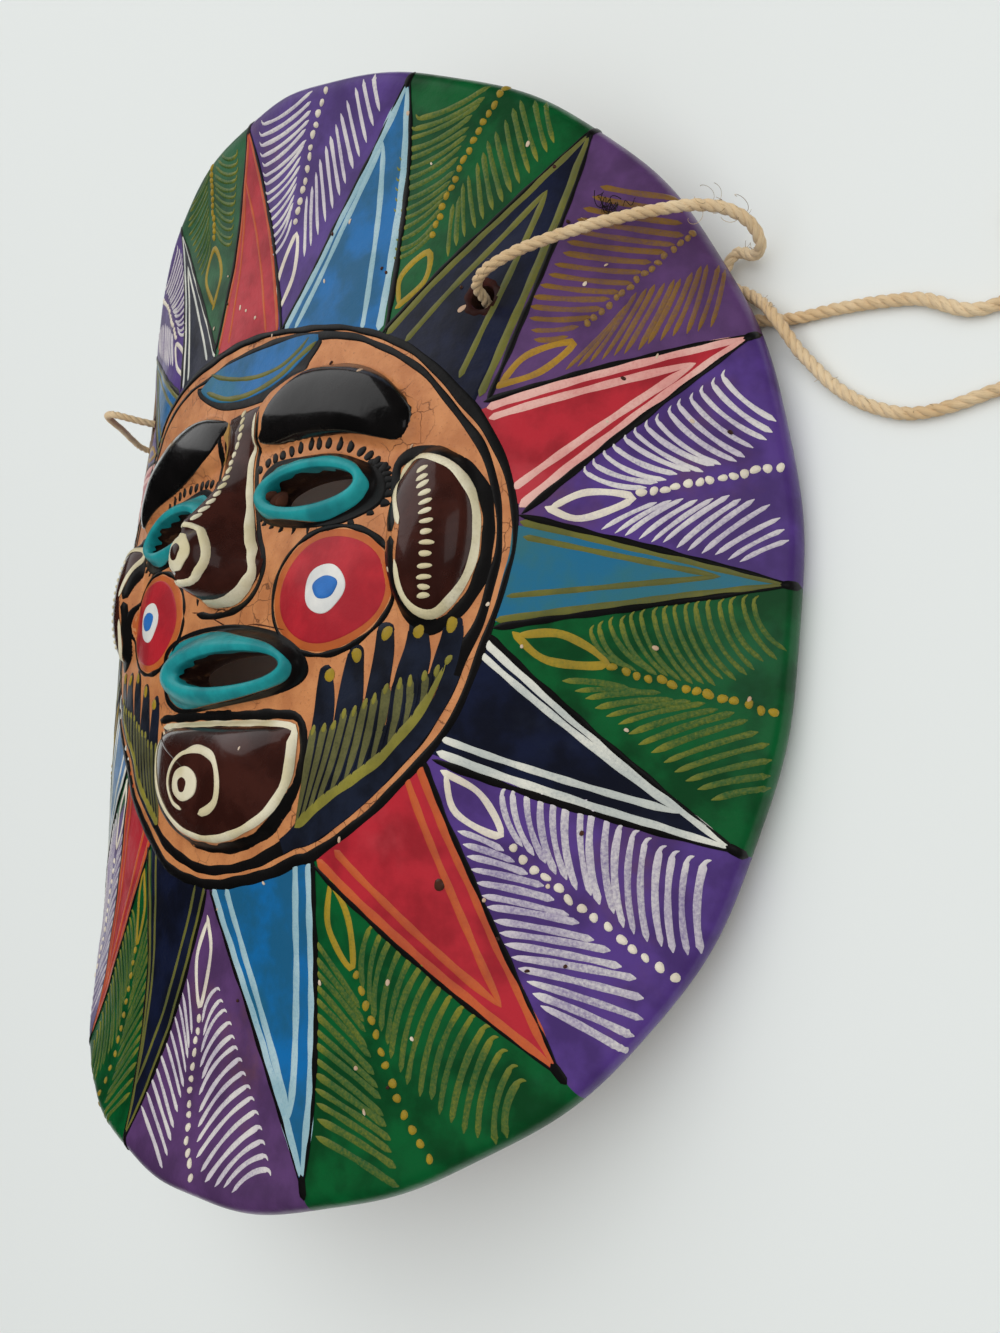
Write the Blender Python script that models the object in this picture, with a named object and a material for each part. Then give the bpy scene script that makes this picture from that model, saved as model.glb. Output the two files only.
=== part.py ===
"""A painted clay sun mask lying face up, with the twine it is hung by.

The sun is a round plate bent across its width like a wide roof tile, with a face raised in the middle.
The plate is worked out on its developed surface: u runs along the bend from the middle, v runs up the mask.
Frame: +X to the viewer's right, +Y to the top of the mask, +Z out of the face, the surface it lies on at z = 0.
"""
import math

import bmesh
import bpy
import numpy as np
from mathutils import Matrix, Vector

MM = 0.001

# Driving dimensions of the fired shell
MASK_HEIGHT = 260 * MM
MASK_SPREAD = 287.7 * MM  # width of the plate measured along its bend
BEND_RADIUS = 238.5 * MM
WALL = 7 * MM
RIM_FRONT_ROUND = 3.5 * MM
RIM_BACK_ROUND = 2.5 * MM
FLAT_TRIM = 0.5 * MM  # depth of the flats that the two side edges rest on
OUTLINE_POWER = 2.155  # 2 is an ellipse, more is squarer

# The cord holes, measured along the bend and up from the middle
CORD_HOLE_DIAMETER = 5.5 * MM
CORD_HOLE_OUT = 78 * MM
CORD_HOLE_UP_RIGHT = 62 * MM
CORD_HOLE_UP_LEFT = 73 * MM

# The twine and its two knots
CORD_DIAMETER = 2.4 * MM
CORD_CLEARANCE = 0.3 * MM
CORD_STEP = 7 * MM
KNOT_LENGTH = 4.8 * MM
KNOT_SWELL = 2.4 * MM  # thickness of the wraps round the standing part

# Fineness of the meshes
SPOKES = 168
FACE_RINGS = 62
ROUND_STEPS = 4
BACK_RINGS = 12
SHELL_TRIANGLES = 6600

# The carving's own unit: all places and reliefs of the face are shares of the mask's height
UNIT = MASK_HEIGHT / 260

HALF_HEIGHT = MASK_HEIGHT / 2
HALF_SPREAD = MASK_SPREAD / 2
CORD_RADIUS = CORD_DIAMETER / 2


def gauge(u, v, half_u, half_v, power=2.0):
    """0 in the middle of a rounded figure, 1 on its edge."""
    return (np.abs(u / half_u) ** power + np.abs(v / half_v) ** power) ** (1 / power)


def dome(q, steepness=0.6):
    """Height of a bulge from 1 in the middle to 0 at q = 1."""
    return np.clip(1 - q * q, 0, 1) ** steepness


def ring(inside, outside):
    """A rounded rim between the edge of a hole and an outer edge, 1 on its crest and level over the hole."""
    across = np.clip(inside / np.maximum(inside + outside, 1e-6), 0, 1)
    return np.where(outside > 0, np.sin(math.pi * (0.2 + 0.8 * across)) ** 0.5, 0)


EYE_AT = (32.2, 26.4)
EYE_HOLE_AT = (33.0, 26.4)
EYE_HOLE = (16.6, 4.6)
EYE_OUTER = (20.6, 8.2)
EYE_TILT = math.radians(-4)
MOUTH_AT = (1.4, -13.9)
MOUTH_HOLE_AT = (6.0, -14.2)
MOUTH_HOLE = (24.4, 4.4)
MOUTH_OUTER = (32.0, 9.4)
BROW_HEIGHT = 4.2
BROW_ARCH_AT = (24.0, 48.8)
BROW_ARCH = 0.0085
BROW_MIDDLE_OUT = 35.0
BROW_HALF = (28.5, 8.6)
EYE_RIM_HEIGHT = 3.4
LIP_HEIGHT = 4.0
NOSE_HEIGHT = 13.5
NOSE_TOP = 54.0
NOSE_TIP = 13.0
NOSE_FOOT = 2.0
NOSE_BRIDGE = 1.6
NOSE_NARROW = 6.6
NOSE_FLARE = 9.4
KNOB_RADIUS = 8.8
EAR_AT = (69.8, 11.6)
EAR_HALF = (11.0, 18.2)
EAR_HEIGHT = 5.5
CHEEK_AT = (40.5, 3.0)
CHEEK_RADIUS = 20.0
CHEEK_HEIGHT = 1.8
CHIN_AT = (3.2, -40.0)
CHIN_HALF_WIDTH = 31.5
CHIN_ABOVE = 12.5
CHIN_BELOW = 16.5
CHIN_HEIGHT = 6.5
DISH_UP = 5.4
DISH_HALF = (91.3, 124.3)
DISH_DEPTH = 4.2


def turn_to_eye(a, v, at):
    """Own axes of an eye, which slopes down a little towards the ear."""
    du = a - at[0]
    dv = v - at[1]
    return (du * math.cos(EYE_TILT) + dv * math.sin(EYE_TILT),
            -du * math.sin(EYE_TILT) + dv * math.cos(EYE_TILT))


def eye(a, v):
    hole = gauge(*turn_to_eye(a, v, EYE_HOLE_AT), *EYE_HOLE)
    outer = gauge(*turn_to_eye(a, v, EYE_AT), *EYE_OUTER)
    return EYE_RIM_HEIGHT * ring(hole - 1, 1 - outer)


def mouth(u, v):
    hole = gauge(u - MOUTH_HOLE_AT[0], v - MOUTH_HOLE_AT[1], *MOUTH_HOLE)
    outer = gauge(u - MOUTH_AT[0], v - MOUTH_AT[1], *MOUTH_OUTER)
    return LIP_HEIGHT * ring(hole - 1, 1 - outer)


def brow(a, v):
    middle = BROW_ARCH_AT[1] - BROW_ARCH * (a - BROW_ARCH_AT[0]) ** 2
    q = np.sqrt(((v - middle) / BROW_HALF[1]) ** 2 + ((a - BROW_MIDDLE_OUT) / BROW_HALF[0]) ** 4)
    return BROW_HEIGHT * dome(q, 0.45)


def nose_half_width(v):
    """Narrow between the eyes, broad at the wings, round below."""
    flare = NOSE_NARROW + NOSE_FLARE * np.clip((42 - v) / 30, 0, 1) ** 2
    below = np.clip((v - NOSE_FOOT) / 11, 0, 1)
    return flare * np.sqrt(1 - (1 - below) ** 2) + 1e-3


def nose(a, v):
    rise = np.clip((NOSE_TOP - v) / (NOSE_TOP - 21), 0, 1) ** 2.1
    foot = np.clip((v - NOSE_FOOT) / 4, 0, 1) ** 0.6
    across = np.clip(1 - a / nose_half_width(v), 0, 1)
    ridge = NOSE_HEIGHT * rise * foot * across ** 0.85
    bridge = NOSE_BRIDGE * np.clip((NOSE_TOP - v) / 6, 0, 1) * foot * np.sqrt(across)
    knob = (NOSE_HEIGHT + 1) * dome(gauge(a, v - NOSE_TIP, KNOB_RADIUS, KNOB_RADIUS, 3.2), 0.45)
    return np.maximum(np.maximum(ridge, bridge), knob)


def chin_gauge(u, v):
    """A plate straight along its top and round below."""
    du = u - CHIN_AT[0]
    dv = v - CHIN_AT[1]
    above = gauge(du, dv, CHIN_HALF_WIDTH, CHIN_ABOVE, 6)
    return np.where(dv > 0, above, gauge(du, dv, CHIN_HALF_WIDTH, CHIN_BELOW, 2.2))


def relief(u, v):
    """Height of the face's carving over the plate, all in UNIT."""
    a = np.abs(u)
    parts = [
        brow(a, v),
        nose(a, v),
        eye(a, v),
        mouth(u, v),
        EAR_HEIGHT * dome(gauge(a - EAR_AT[0], v - EAR_AT[1], *EAR_HALF), 0.5),
        CHEEK_HEIGHT * dome(gauge(a - CHEEK_AT[0], v - CHEEK_AT[1], CHEEK_RADIUS, CHEEK_RADIUS), 1.2),
        CHIN_HEIGHT * dome(chin_gauge(u, v), 0.5),
    ]
    return np.maximum.reduce(parts)


def hollow(u, v):
    """How far the back is pressed in behind the nose and the chin, in UNIT."""
    behind_nose = 7 * np.exp(-(u / 11) ** 2 - ((v - 18) / 17) ** 2)
    behind_chin = 4 * np.exp(-(u / 24) ** 2 - ((v - CHIN_AT[1]) / 12) ** 2)
    return behind_nose + behind_chin


def plate(u, v):
    """A point of the bent plate, before it is lifted onto the surface it lies on."""
    turn = u / BEND_RADIUS
    up = v / HALF_HEIGHT
    lip = HALF_HEIGHT * (-0.1222 * up ** 2 + 0.149 * up ** 4)
    q = gauge(u / UNIT, v / UNIT - DISH_UP, *DISH_HALF)
    dish = DISH_DEPTH * UNIT * np.clip(1 - q * q, 0, 1) ** 2
    return np.stack([BEND_RADIUS * np.sin(turn), v + 0 * u, BEND_RADIUS * (np.cos(turn) - 1) + lip - dish], -1)


def plate_normal(u, v):
    step = 0.05 * MM
    along = plate(u + step, v) - plate(u - step, v)
    up = plate(u, v + step) - plate(u, v - step)
    out = np.cross(along, up)
    return out / np.linalg.norm(out, axis=-1, keepdims=True)


def outline(angle):
    """Developed outline of the plate."""
    c = np.cos(angle)
    s = np.sin(angle)
    return (HALF_SPREAD * np.sign(c) * np.abs(c) ** (2 / OUTLINE_POWER),
            HALF_HEIGHT * np.sign(s) * np.abs(s) ** (2 / OUTLINE_POWER))


def wall_profile():
    """Steps from the middle of the front over the rounded rim to the middle of the back.

    Each is (share of the way in from the rim, way in from the rim, depth below the front, share of back)."""
    steps = []
    for i in range(FACE_RINGS):
        steps.append((1 - i / FACE_RINGS, RIM_FRONT_ROUND, 0.0, 0.0))
    for i in range(ROUND_STEPS + 1):
        a = math.pi / 2 * i / ROUND_STEPS
        steps.append((0.0, RIM_FRONT_ROUND * (1 - math.sin(a)), RIM_FRONT_ROUND * (1 - math.cos(a)), 0.0))
    for i in range(ROUND_STEPS + 1):
        a = math.pi / 2 * i / ROUND_STEPS
        steps.append((0.0, RIM_BACK_ROUND * (1 - math.cos(a)), WALL - RIM_BACK_ROUND * (1 - math.sin(a)), 0.0))
    for i in range(1, BACK_RINGS + 1):
        steps.append((i / BACK_RINGS, RIM_BACK_ROUND, WALL, 1.0))
    return np.array(steps)


def shell_points(spoke, step):
    """Place of every grid vertex from its spoke and its step along the wall's profile."""
    way, inset, depth, back = wall_profile()[step].T
    rim_u, rim_v = outline(2 * math.pi * spoke / SPOKES)
    reach = np.hypot(rim_u, rim_v)
    share = (1 - inset / reach) * (1 - way)
    u = rim_u * share
    v = rim_v * share
    height = relief(u / UNIT, v / UNIT) * UNIT * (depth == 0) + back * hollow(u / UNIT, v / UNIT) * UNIT
    return plate(u, v) + (height - depth)[:, None] * plate_normal(u, v)


# The plate is lifted until the lowest line of its side edges, less the flats, lies on the table
RIM_STEPS = np.arange(FACE_RINGS, FACE_RINGS + 2 * ROUND_STEPS + 2)
GROUND = -shell_points(np.zeros(len(RIM_STEPS)), RIM_STEPS)[:, 2].min() - FLAT_TRIM


def place(obj, color, roughness, metallic=0.0):
    material = bpy.data.materials.new(obj.name)
    material.use_nodes = True
    shader = material.node_tree.nodes["Principled BSDF"]
    shader.inputs["Base Color"].default_value = (*color, 1.0)
    shader.inputs["Roughness"].default_value = roughness
    shader.inputs["Metallic"].default_value = metallic
    obj.data.materials.append(material)
    bpy.context.scene.collection.objects.link(obj)
    return obj


def mesh_object(name, bm):
    bmesh.ops.recalc_face_normals(bm, faces=bm.faces)
    mesh = bpy.data.meshes.new(name)
    bm.to_mesh(mesh)
    bm.free()
    mesh.shade_smooth()
    return bpy.data.objects.new(name, mesh)


def cutter(name, bm):
    """A guide that other pieces are cut with."""
    obj = mesh_object(name, bm)
    obj.display_type = "WIRE"
    obj.hide_render = True
    bpy.context.scene.collection.objects.link(obj)
    return obj


def cut(obj, tool):
    modifier = obj.modifiers.new(tool.name, "BOOLEAN")
    modifier.operation = "DIFFERENCE"
    modifier.solver = "EXACT"
    modifier.object = tool


def surface_frame(u, v, tilt=0.0):
    """Placement whose z axis stands out of the plate at (u, v)."""
    at = plate(np.array([u]), np.array([v]))[0] + np.array([0, 0, GROUND])
    out = Vector(plate_normal(np.array([u]), np.array([v]))[0])
    up = (Vector((0, 1, 0)) - out * out.y).normalized()
    turn = Matrix((up.cross(out), up, out)).transposed().to_4x4()
    return Matrix.Translation(Vector(at)) @ turn @ Matrix.Rotation(tilt, 4, "Z")


def punch(name, u, v, half_u, half_v, tilt=0.0):
    """An upright elliptic rod that goes right through the wall at (u, v)."""
    bm = bmesh.new()
    bmesh.ops.create_cone(bm, cap_ends=True, segments=32, radius1=1, radius2=1, depth=2)
    size = Matrix.Diagonal((half_u, half_v, WALL * 2.5, 1))
    bmesh.ops.transform(bm, matrix=surface_frame(u, v, tilt) @ size, verts=bm.verts)
    return cutter(name, bm)


def build_mask():
    bm = bmesh.new()
    steps = len(wall_profile()) - 1
    bmesh.ops.create_grid(bm, x_segments=SPOKES, y_segments=steps, size=1)
    grid = np.array([v.co[:] for v in bm.verts])
    spoke = np.rint((grid[:, 0] + 1) / 2 * SPOKES).astype(int)
    step = np.rint((grid[:, 1] + 1) / 2 * steps).astype(int)
    points = shell_points(spoke % SPOKES, step) + np.array([0, 0, GROUND])
    for vertex, point in zip(bm.verts, points):
        vertex.co = point
    bmesh.ops.remove_doubles(bm, verts=bm.verts, dist=0.002 * MM)
    mask = mesh_object("sun_mask", bm)
    fewer = mask.modifiers.new("fewer", "DECIMATE")
    fewer.ratio = SHELL_TRIANGLES / (2 * SPOKES * steps)
    place(mask, (0.45, 0.14, 0.05), 0.35)
    for side, name in ((1, "right"), (-1, "left")):
        tool = punch("eye_hole_" + name, side * EYE_HOLE_AT[0] * UNIT, EYE_HOLE_AT[1] * UNIT,
                     EYE_HOLE[0] * UNIT, EYE_HOLE[1] * UNIT, side * EYE_TILT)
        cut(mask, tool)
    cut(mask, punch("mouth_slit", MOUTH_HOLE_AT[0] * UNIT, MOUTH_HOLE_AT[1] * UNIT,
                    MOUTH_HOLE[0] * UNIT, MOUTH_HOLE[1] * UNIT))
    for out, up, name in ((CORD_HOLE_OUT, CORD_HOLE_UP_RIGHT, "right"), (-CORD_HOLE_OUT, CORD_HOLE_UP_LEFT, "left")):
        cut(mask, punch("cord_hole_" + name, out, up, CORD_HOLE_DIAMETER / 2, CORD_HOLE_DIAMETER / 2))
    below = bmesh.new()
    bmesh.ops.create_cube(below, size=1)
    bmesh.ops.scale(below, vec=(2 * MASK_SPREAD, 2 * MASK_HEIGHT, 0.2), verts=below.verts)
    bmesh.ops.translate(below, vec=(0, 0, -0.1), verts=below.verts)
    cut(mask, cutter("table_level", below))
    return mask


# The cord's route, chosen by hand: x, y and height over the table in millimetres
KNOT_RIGHT_AT = (108, 66, 4.4)
KNOT_LEFT_AT = (-93, 70.6, 4.4)
RIGHT_ARCH = [(119, 68.6, 2.5), (123.6, 66.4, 3), (126.6, 66.2, 6), (126.6, 68.6, 10.4), (123.4, 70.6, 14.8),
              (118.6, 71.4, 18.2), (112.2, 70.9, 22.2), (105, 69.6, 26.8), (98, 67.8, 31), (90.6, 65.6, 35),
              (84, 63.2, 37.2), (79.2, 62.2, 35.6), (77, 62, 31.4), (74.6, 61.7, 25), (76, 62.4, 18),
              (82.5, 65, 11.4), (91, 67.6, 7.4), (100, 67.8, 5.2)]
RIGHT_STRAND = [(116, 63, 3), (121.4, 59.6, 2.2), (125.6, 55.6, 3.2), (129.2, 50.6, 4.5), (133.6, 42.8, 2.4),
                (142, 32.8, 1.3), (153, 26.8, 1.3), (166, 27.4, 1.3)]
FAR_LOOP = [(179, 30, 1.3), (191, 36, 1.3), (198.5, 46, 1.3), (199, 58, 1.3), (191, 67, 1.3), (180, 69, 1.3),
            (171.6, 63.6, 1.3), (169.4, 55.5, 1.3), (171.2, 48.4, 1.3), (168.6, 42.6, 1.3)]
UNDER_STRAND = [(162, 42.4, 1.3), (154, 47.2, 1.3), (142, 50, 1.3), (131, 51.4, 1.3), (122, 54, 1.3), (108, 58, 1.3),
                (80, 63.4, 1.3), (40, 68, 1.3), (0, 70, 1.3), (-40, 70, 1.3), (-68, 69.4, 1.5), (-83, 69.2, 3.2)]
LEFT_ARCH = [(-103, 73.4, 4), (-111.6, 76.8, 3.3), (-118.4, 79.2, 4), (-123.4, 80.6, 8), (-123.4, 80.9, 14.2),
             (-117.4, 80.6, 20.6), (-108, 79.6, 28.4), (-99, 78, 35.6), (-90, 76, 40.8), (-82.4, 74.2, 41.6),
             (-78, 73, 35.6), (-75.4, 72.8, 27), (-75.2, 71.6, 20)]


def knot_way(before, after):
    return (Vector(after) - Vector(before)).normalized()


def tie_end(knot_at, way, side):
    """The last two points of an end, which meets the knot's flat face beside the standing part, in millimetres."""
    beside = (2 * CORD_RADIUS + CORD_CLEARANCE) / MM
    face = Vector(knot_at) + way * (KNOT_LENGTH / 2 + CORD_CLEARANCE) / MM + side * beside
    return [tuple(face + way * 5), tuple(face)]


RIGHT_WAY = knot_way(RIGHT_ARCH[-1], RIGHT_STRAND[0])
LEFT_WAY = knot_way(LEFT_ARCH[0], UNDER_STRAND[-1])
RIGHT_SIDE = RIGHT_WAY.cross(Vector((0, 0, -1))).normalized()
LEFT_SIDE = LEFT_WAY.cross(Vector((0, 0, -1))).normalized()


def cord_route():
    """All the cord's points in order, from its right end to its left end."""
    right_end = tie_end(KNOT_RIGHT_AT, RIGHT_WAY, RIGHT_SIDE * -1)
    left_end = tie_end(KNOT_LEFT_AT, LEFT_WAY, LEFT_SIDE * -1)
    return (right_end[::-1] + RIGHT_ARCH + [KNOT_RIGHT_AT] + RIGHT_STRAND + FAR_LOOP + UNDER_STRAND
            + [KNOT_LEFT_AT] + LEFT_ARCH + left_end)


def smooth_path(points, step):
    """Evenly spaced points on a smooth curve through the route's own points."""
    route = [Vector(p) * MM for p in points]
    route = [2 * route[0] - route[1]] + route + [2 * route[-1] - route[-2]]
    fine = []
    for a, b, c, d in zip(route, route[1:], route[2:], route[3:]):
        for i in range(24):
            t = i / 24
            fine.append(0.5 * (2 * b + (c - a) * t + (2 * a - 5 * b + 4 * c - d) * t ** 2
                               + (3 * b - a - 3 * c + d) * t ** 3))
    fine.append(route[-2])
    run = np.concatenate([[0], np.cumsum([(q - p).length for p, q in zip(fine, fine[1:])])])
    count = max(2, round(run[-1] / step))
    return np.stack([np.interp(np.linspace(0, run[-1], count + 1), run, [p[k] for p in fine]) for k in range(3)], -1)


def build_cord():
    points = smooth_path(cord_route(), CORD_STEP)
    curve = bpy.data.curves.new("cord", "CURVE")
    curve.dimensions = "3D"
    curve.bevel_depth = CORD_RADIUS
    curve.bevel_resolution = 2
    curve.use_fill_caps = True
    spline = curve.splines.new("POLY")
    spline.points.add(len(points) - 1)
    for spline_point, point in zip(spline.points, points):
        spline_point.co = (*point, 1)
    return place(bpy.data.objects.new("cord", curve), (0.58, 0.44, 0.29), 0.9)


def build_knot(name, at, way):
    """Wraps round the standing part, turned as a ring with a rounded outside."""
    bm = bmesh.new()
    inner = CORD_RADIUS + CORD_CLEARANCE
    half = KNOT_LENGTH / 2
    outer = inner + KNOT_SWELL
    soft = 0.3 * KNOT_SWELL
    above = [(inner, half), (outer - soft, half), (outer, half - soft)]
    profile = above + [(radius, -z) for radius, z in above[::-1]]
    corners = [bm.verts.new((radius, 0, z)) for radius, z in profile]
    edges = [bm.edges.new((a, b)) for a, b in zip(corners, corners[1:] + corners[:1])]
    bmesh.ops.spin(bm, geom=corners + edges, cent=(0, 0, 0), axis=(0, 0, 1), angle=2 * math.pi,
                   steps=14, use_merge=True)
    stand = Vector(way).to_track_quat("Z", "Y").to_matrix().to_4x4()
    bmesh.ops.transform(bm, matrix=Matrix.Translation(Vector(at) * MM) @ stand, verts=bm.verts)
    return place(mesh_object(name, bm), (0.58, 0.44, 0.29), 0.9)


for old in list(bpy.data.objects):
    bpy.data.objects.remove(old)
build_mask()
build_cord()
build_knot("knot_right", KNOT_RIGHT_AT, RIGHT_WAY)
build_knot("knot_left", KNOT_LEFT_AT, LEFT_WAY)
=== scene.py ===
# %% [markdown]
# # A painted clay sun mask
# The mask is a bent plate of fired clay with a face raised in the middle, painted by hand with a brush and
# varnished. It lies face up on its two side edges, and a natural twine hangs out of it to one side.
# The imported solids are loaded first: every piece below is made in their frame and stands where they stand.

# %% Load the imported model
import math
import random

import bmesh
import bpy
import numpy as np
from mathutils import Matrix, Vector


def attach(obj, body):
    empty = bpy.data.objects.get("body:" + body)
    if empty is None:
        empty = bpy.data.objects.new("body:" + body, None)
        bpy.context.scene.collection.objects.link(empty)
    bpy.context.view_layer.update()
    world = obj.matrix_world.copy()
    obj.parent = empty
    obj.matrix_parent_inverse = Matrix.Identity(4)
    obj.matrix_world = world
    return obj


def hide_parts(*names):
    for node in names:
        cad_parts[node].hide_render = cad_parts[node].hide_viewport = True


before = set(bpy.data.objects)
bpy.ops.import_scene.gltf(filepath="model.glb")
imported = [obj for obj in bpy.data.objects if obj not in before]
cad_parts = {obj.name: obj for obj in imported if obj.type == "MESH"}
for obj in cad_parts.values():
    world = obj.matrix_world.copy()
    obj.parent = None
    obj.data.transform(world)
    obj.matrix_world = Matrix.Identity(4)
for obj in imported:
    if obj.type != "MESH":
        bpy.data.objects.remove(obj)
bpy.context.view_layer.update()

MM = 0.001
MERGE = 0.0005 * MM  # doubles closer than this are one point

# %% [markdown]
# ## The camera
# The picture was taken from low over the mask's right edge, with the top of the mask to the top of the
# picture. The lens is a wide one: 924 pixels of focal length over a picture 1333 pixels tall.

# %% Camera
PICTURE_TALL = 1333
FOCAL_PIXELS = 924
SENSOR = 36.0
CAMERA_AT = Vector((209.105, -39.598, 155.895)) * MM
CAMERA_TURN = Vector((-0.1426, -0.7719, 0.007))  # axis times angle, from the world to the camera

camera = bpy.data.objects.new("camera", bpy.data.cameras.new("camera"))
camera.data.sensor_width = SENSOR
camera.data.lens = FOCAL_PIXELS * SENSOR / PICTURE_TALL
camera.data.clip_start = 0.01
camera.data.clip_end = 100
to_camera = Matrix.Rotation(CAMERA_TURN.length, 4, CAMERA_TURN.normalized())
camera.matrix_world = Matrix.Translation(CAMERA_AT) @ to_camera.transposed()
bpy.context.scene.collection.objects.link(camera)
bpy.context.scene.camera = camera
print("lens", round(camera.data.lens, 2), "mm")

# %% [markdown]
# ## Nodes and colours
# Every finish is built from shader nodes. One function adds a node, with its own settings and its inputs, and
# another turns the hex colours that a screen shows into the linear ones that light is worked out with.


# %% Helpers for materials
def linear(hex_colour):
    """A colour such as #b3303a as linear red, green, blue and full alpha."""
    shown = [int(hex_colour[i:i + 2], 16) / 255 for i in (1, 3, 5)]
    return (*[c / 12.92 if c <= 0.04045 else ((c + 0.055) / 1.055) ** 2.4 for c in shown], 1.0)


def add(tree, kind, inputs=None, **settings):
    """Adds a shader node; an input is a value or another node's output."""
    made = tree.nodes.new("ShaderNode" + kind)
    for name, value in settings.items():
        setattr(made, name, value)
    for name, value in (inputs or {}).items():
        if isinstance(value, bpy.types.NodeSocket):
            tree.links.new(value, made.inputs[name])
        else:
            made.inputs[name].default_value = value
    return made


def new_material(name):
    material = bpy.data.materials.new(name)
    material.use_nodes = True
    return material, material.node_tree, material.node_tree.nodes["Principled BSDF"]


def new_object(name, bm, finish=None, smooth=True):
    """Turns a finished bmesh into an object of the scene."""
    mesh = bpy.data.meshes.new(name)
    bm.to_mesh(mesh)
    bm.free()
    if smooth:
        mesh.shade_smooth()
    if finish:
        mesh.materials.append(finish)
    made = bpy.data.objects.new(name, mesh)
    bpy.context.scene.collection.objects.link(made)
    return made


# %% [markdown]
# ## Floor and light
# A plain pale sheet under soft light. A square lamp to the upper left stands for a window and a dimmer one to
# the right for a pale wall: these two show in the varnish as broad soft reflections. The ceiling and the
# world only brighten the shadows, so glossy rays don't see them and the colours stay deep.

# %% Floor and light
FLOOR_SIZE = 40.0

bm = bmesh.new()
bmesh.ops.create_grid(bm, x_segments=8, y_segments=8, size=FLOOR_SIZE / 2)
floor_paper, tree, shader = new_material("matt paper")
shader.inputs["Base Color"].default_value = linear("#e6e9e7")
shader.inputs["Roughness"].default_value = 0.9
floor = new_object("floor", bm, floor_paper, smooth=False)

world = bpy.data.worlds.new("studio")
world.use_nodes = True
world.node_tree.nodes["Background"].inputs["Color"].default_value = linear("#f2f5f4")
world.node_tree.nodes["Background"].inputs["Strength"].default_value = 0.40
world.cycles_visibility.glossy = False
bpy.context.scene.world = world
bpy.context.scene.view_settings.view_transform = "Standard"


def softbox(name, direction, height, distance, size, radiance):
    """A square lamp that faces the mask, by its direction and height in degrees and its own brightness."""
    turn, rise = math.radians(direction), math.radians(height)
    at = Vector((math.cos(turn) * math.cos(rise), math.sin(turn) * math.cos(rise), math.sin(rise))) * distance
    lamp = bpy.data.lights.new(name, "AREA")
    lamp.shape = "SQUARE"
    lamp.size = size
    lamp.energy = radiance * math.pi * size * size
    obj = bpy.data.objects.new(name, lamp)
    obj.matrix_world = Matrix.Translation(at) @ (-at).to_track_quat("-Z", "Y").to_matrix().to_4x4()
    bpy.context.scene.collection.objects.link(obj)
    return obj


softbox("window", direction=130, height=36, distance=1.6, size=1.5, radiance=0.62)
softbox("pale wall", direction=14, height=44, distance=1.6, size=0.8, radiance=0.45)
softbox("ceiling", direction=20, height=78, distance=2.0, size=3.6, radiance=1.06).visible_glossy = False

# %% [markdown]
# ## The shape of the clay
# The plate is worked out on its developed surface, as if it were unrolled: u runs along the bend and v up the
# mask, both in millimetres from the middle. The same few functions give the carving for the clay and for
# every brush stroke on it, so that the paint follows the clay exactly. They hold the dimensions of the packed
# solid.

# %% The bent plate and its carving
HALF_HEIGHT = 130.0
HALF_SPREAD = 143.85
BEND_RADIUS = 238.5
WALL = 7.0
RIM_FRONT_ROUND = 3.5
RIM_BACK_ROUND = 2.5
OUTLINE_POWER = 2.155
GROUND = 46.344  # how far the middle of the plate stands over the table
LIP_FALL, LIP_RISE = 0.1222, 0.149  # how the plate dips and then lifts towards its top and bottom
DISH_UP, DISH_HALF, DISH_DEPTH = 5.4, (91.3, 124.3), 4.2
EYE_AT = (32.2, 26.4)
EYE_HOLE_AT = (33.0, 26.4)
EYE_HOLE = (16.6, 4.6)
EYE_OUTER = (20.6, 8.2)
EYE_TILT = math.radians(-4)
MOUTH_AT = (1.4, -13.9)
MOUTH_HOLE_AT = (6.0, -14.2)
MOUTH_HOLE = (24.4, 4.4)
MOUTH_OUTER = (32.0, 9.4)
BROW_MIDDLE, BROW_MIDDLE_OUT, BROW_HALF = 48.8, 35.0, (28.5, 8.6)
BROW_ARCH, BROW_ARCH_AT = 0.0085, 24.0
NOSE_TOP = 54.0
NOSE_TIP = 13.0
NOSE_FOOT = 2.0
NOSE_HEIGHT = 13.5
NOSE_BRIDGE, NOSE_FLARE, NOSE_NARROW = 6.6, 9.4, 42.0
KNOB_RADIUS = 8.8
EAR_AT = (69.8, 11.6)
EAR_HALF = (11.0, 18.2)
CHEEK_AT = (40.5, 3.0)
CHEEK_RADIUS = 20.0
CHIN_AT = (3.2, -40.0)
CHIN_HALF_WIDTH, CHIN_ABOVE, CHIN_BELOW = 31.5, 12.5, 16.5
BROW_HEIGHT, EYE_RIM_HEIGHT, LIP_HEIGHT, EAR_HEIGHT, CHEEK_HEIGHT, CHIN_HEIGHT = 4.2, 3.4, 4.0, 5.5, 1.8, 6.5
CORD_HOLES = [(78.0, 62.0), (-78.0, 73.0)]
CORD_HOLE_RADIUS = 2.75


def gauge(u, v, half_u, half_v, power=2.0):
    """0 in the middle of a rounded figure, 1 on its edge."""
    return (np.abs(u / half_u) ** power + np.abs(v / half_v) ** power) ** (1 / power)


def dome(q, steepness=0.6):
    return np.clip(1 - q * q, 0, 1) ** steepness


def ring(inside, outside):
    across = np.clip(inside / np.maximum(inside + outside, 1e-6), 0, 1)
    return np.where(outside > 0, np.sin(math.pi * (0.2 + 0.8 * across)) ** 0.5, 0)


def turn_to_eye(a, v, at):
    du, dv = a - at[0], v - at[1]
    return (du * math.cos(EYE_TILT) + dv * math.sin(EYE_TILT),
            -du * math.sin(EYE_TILT) + dv * math.cos(EYE_TILT))


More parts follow.
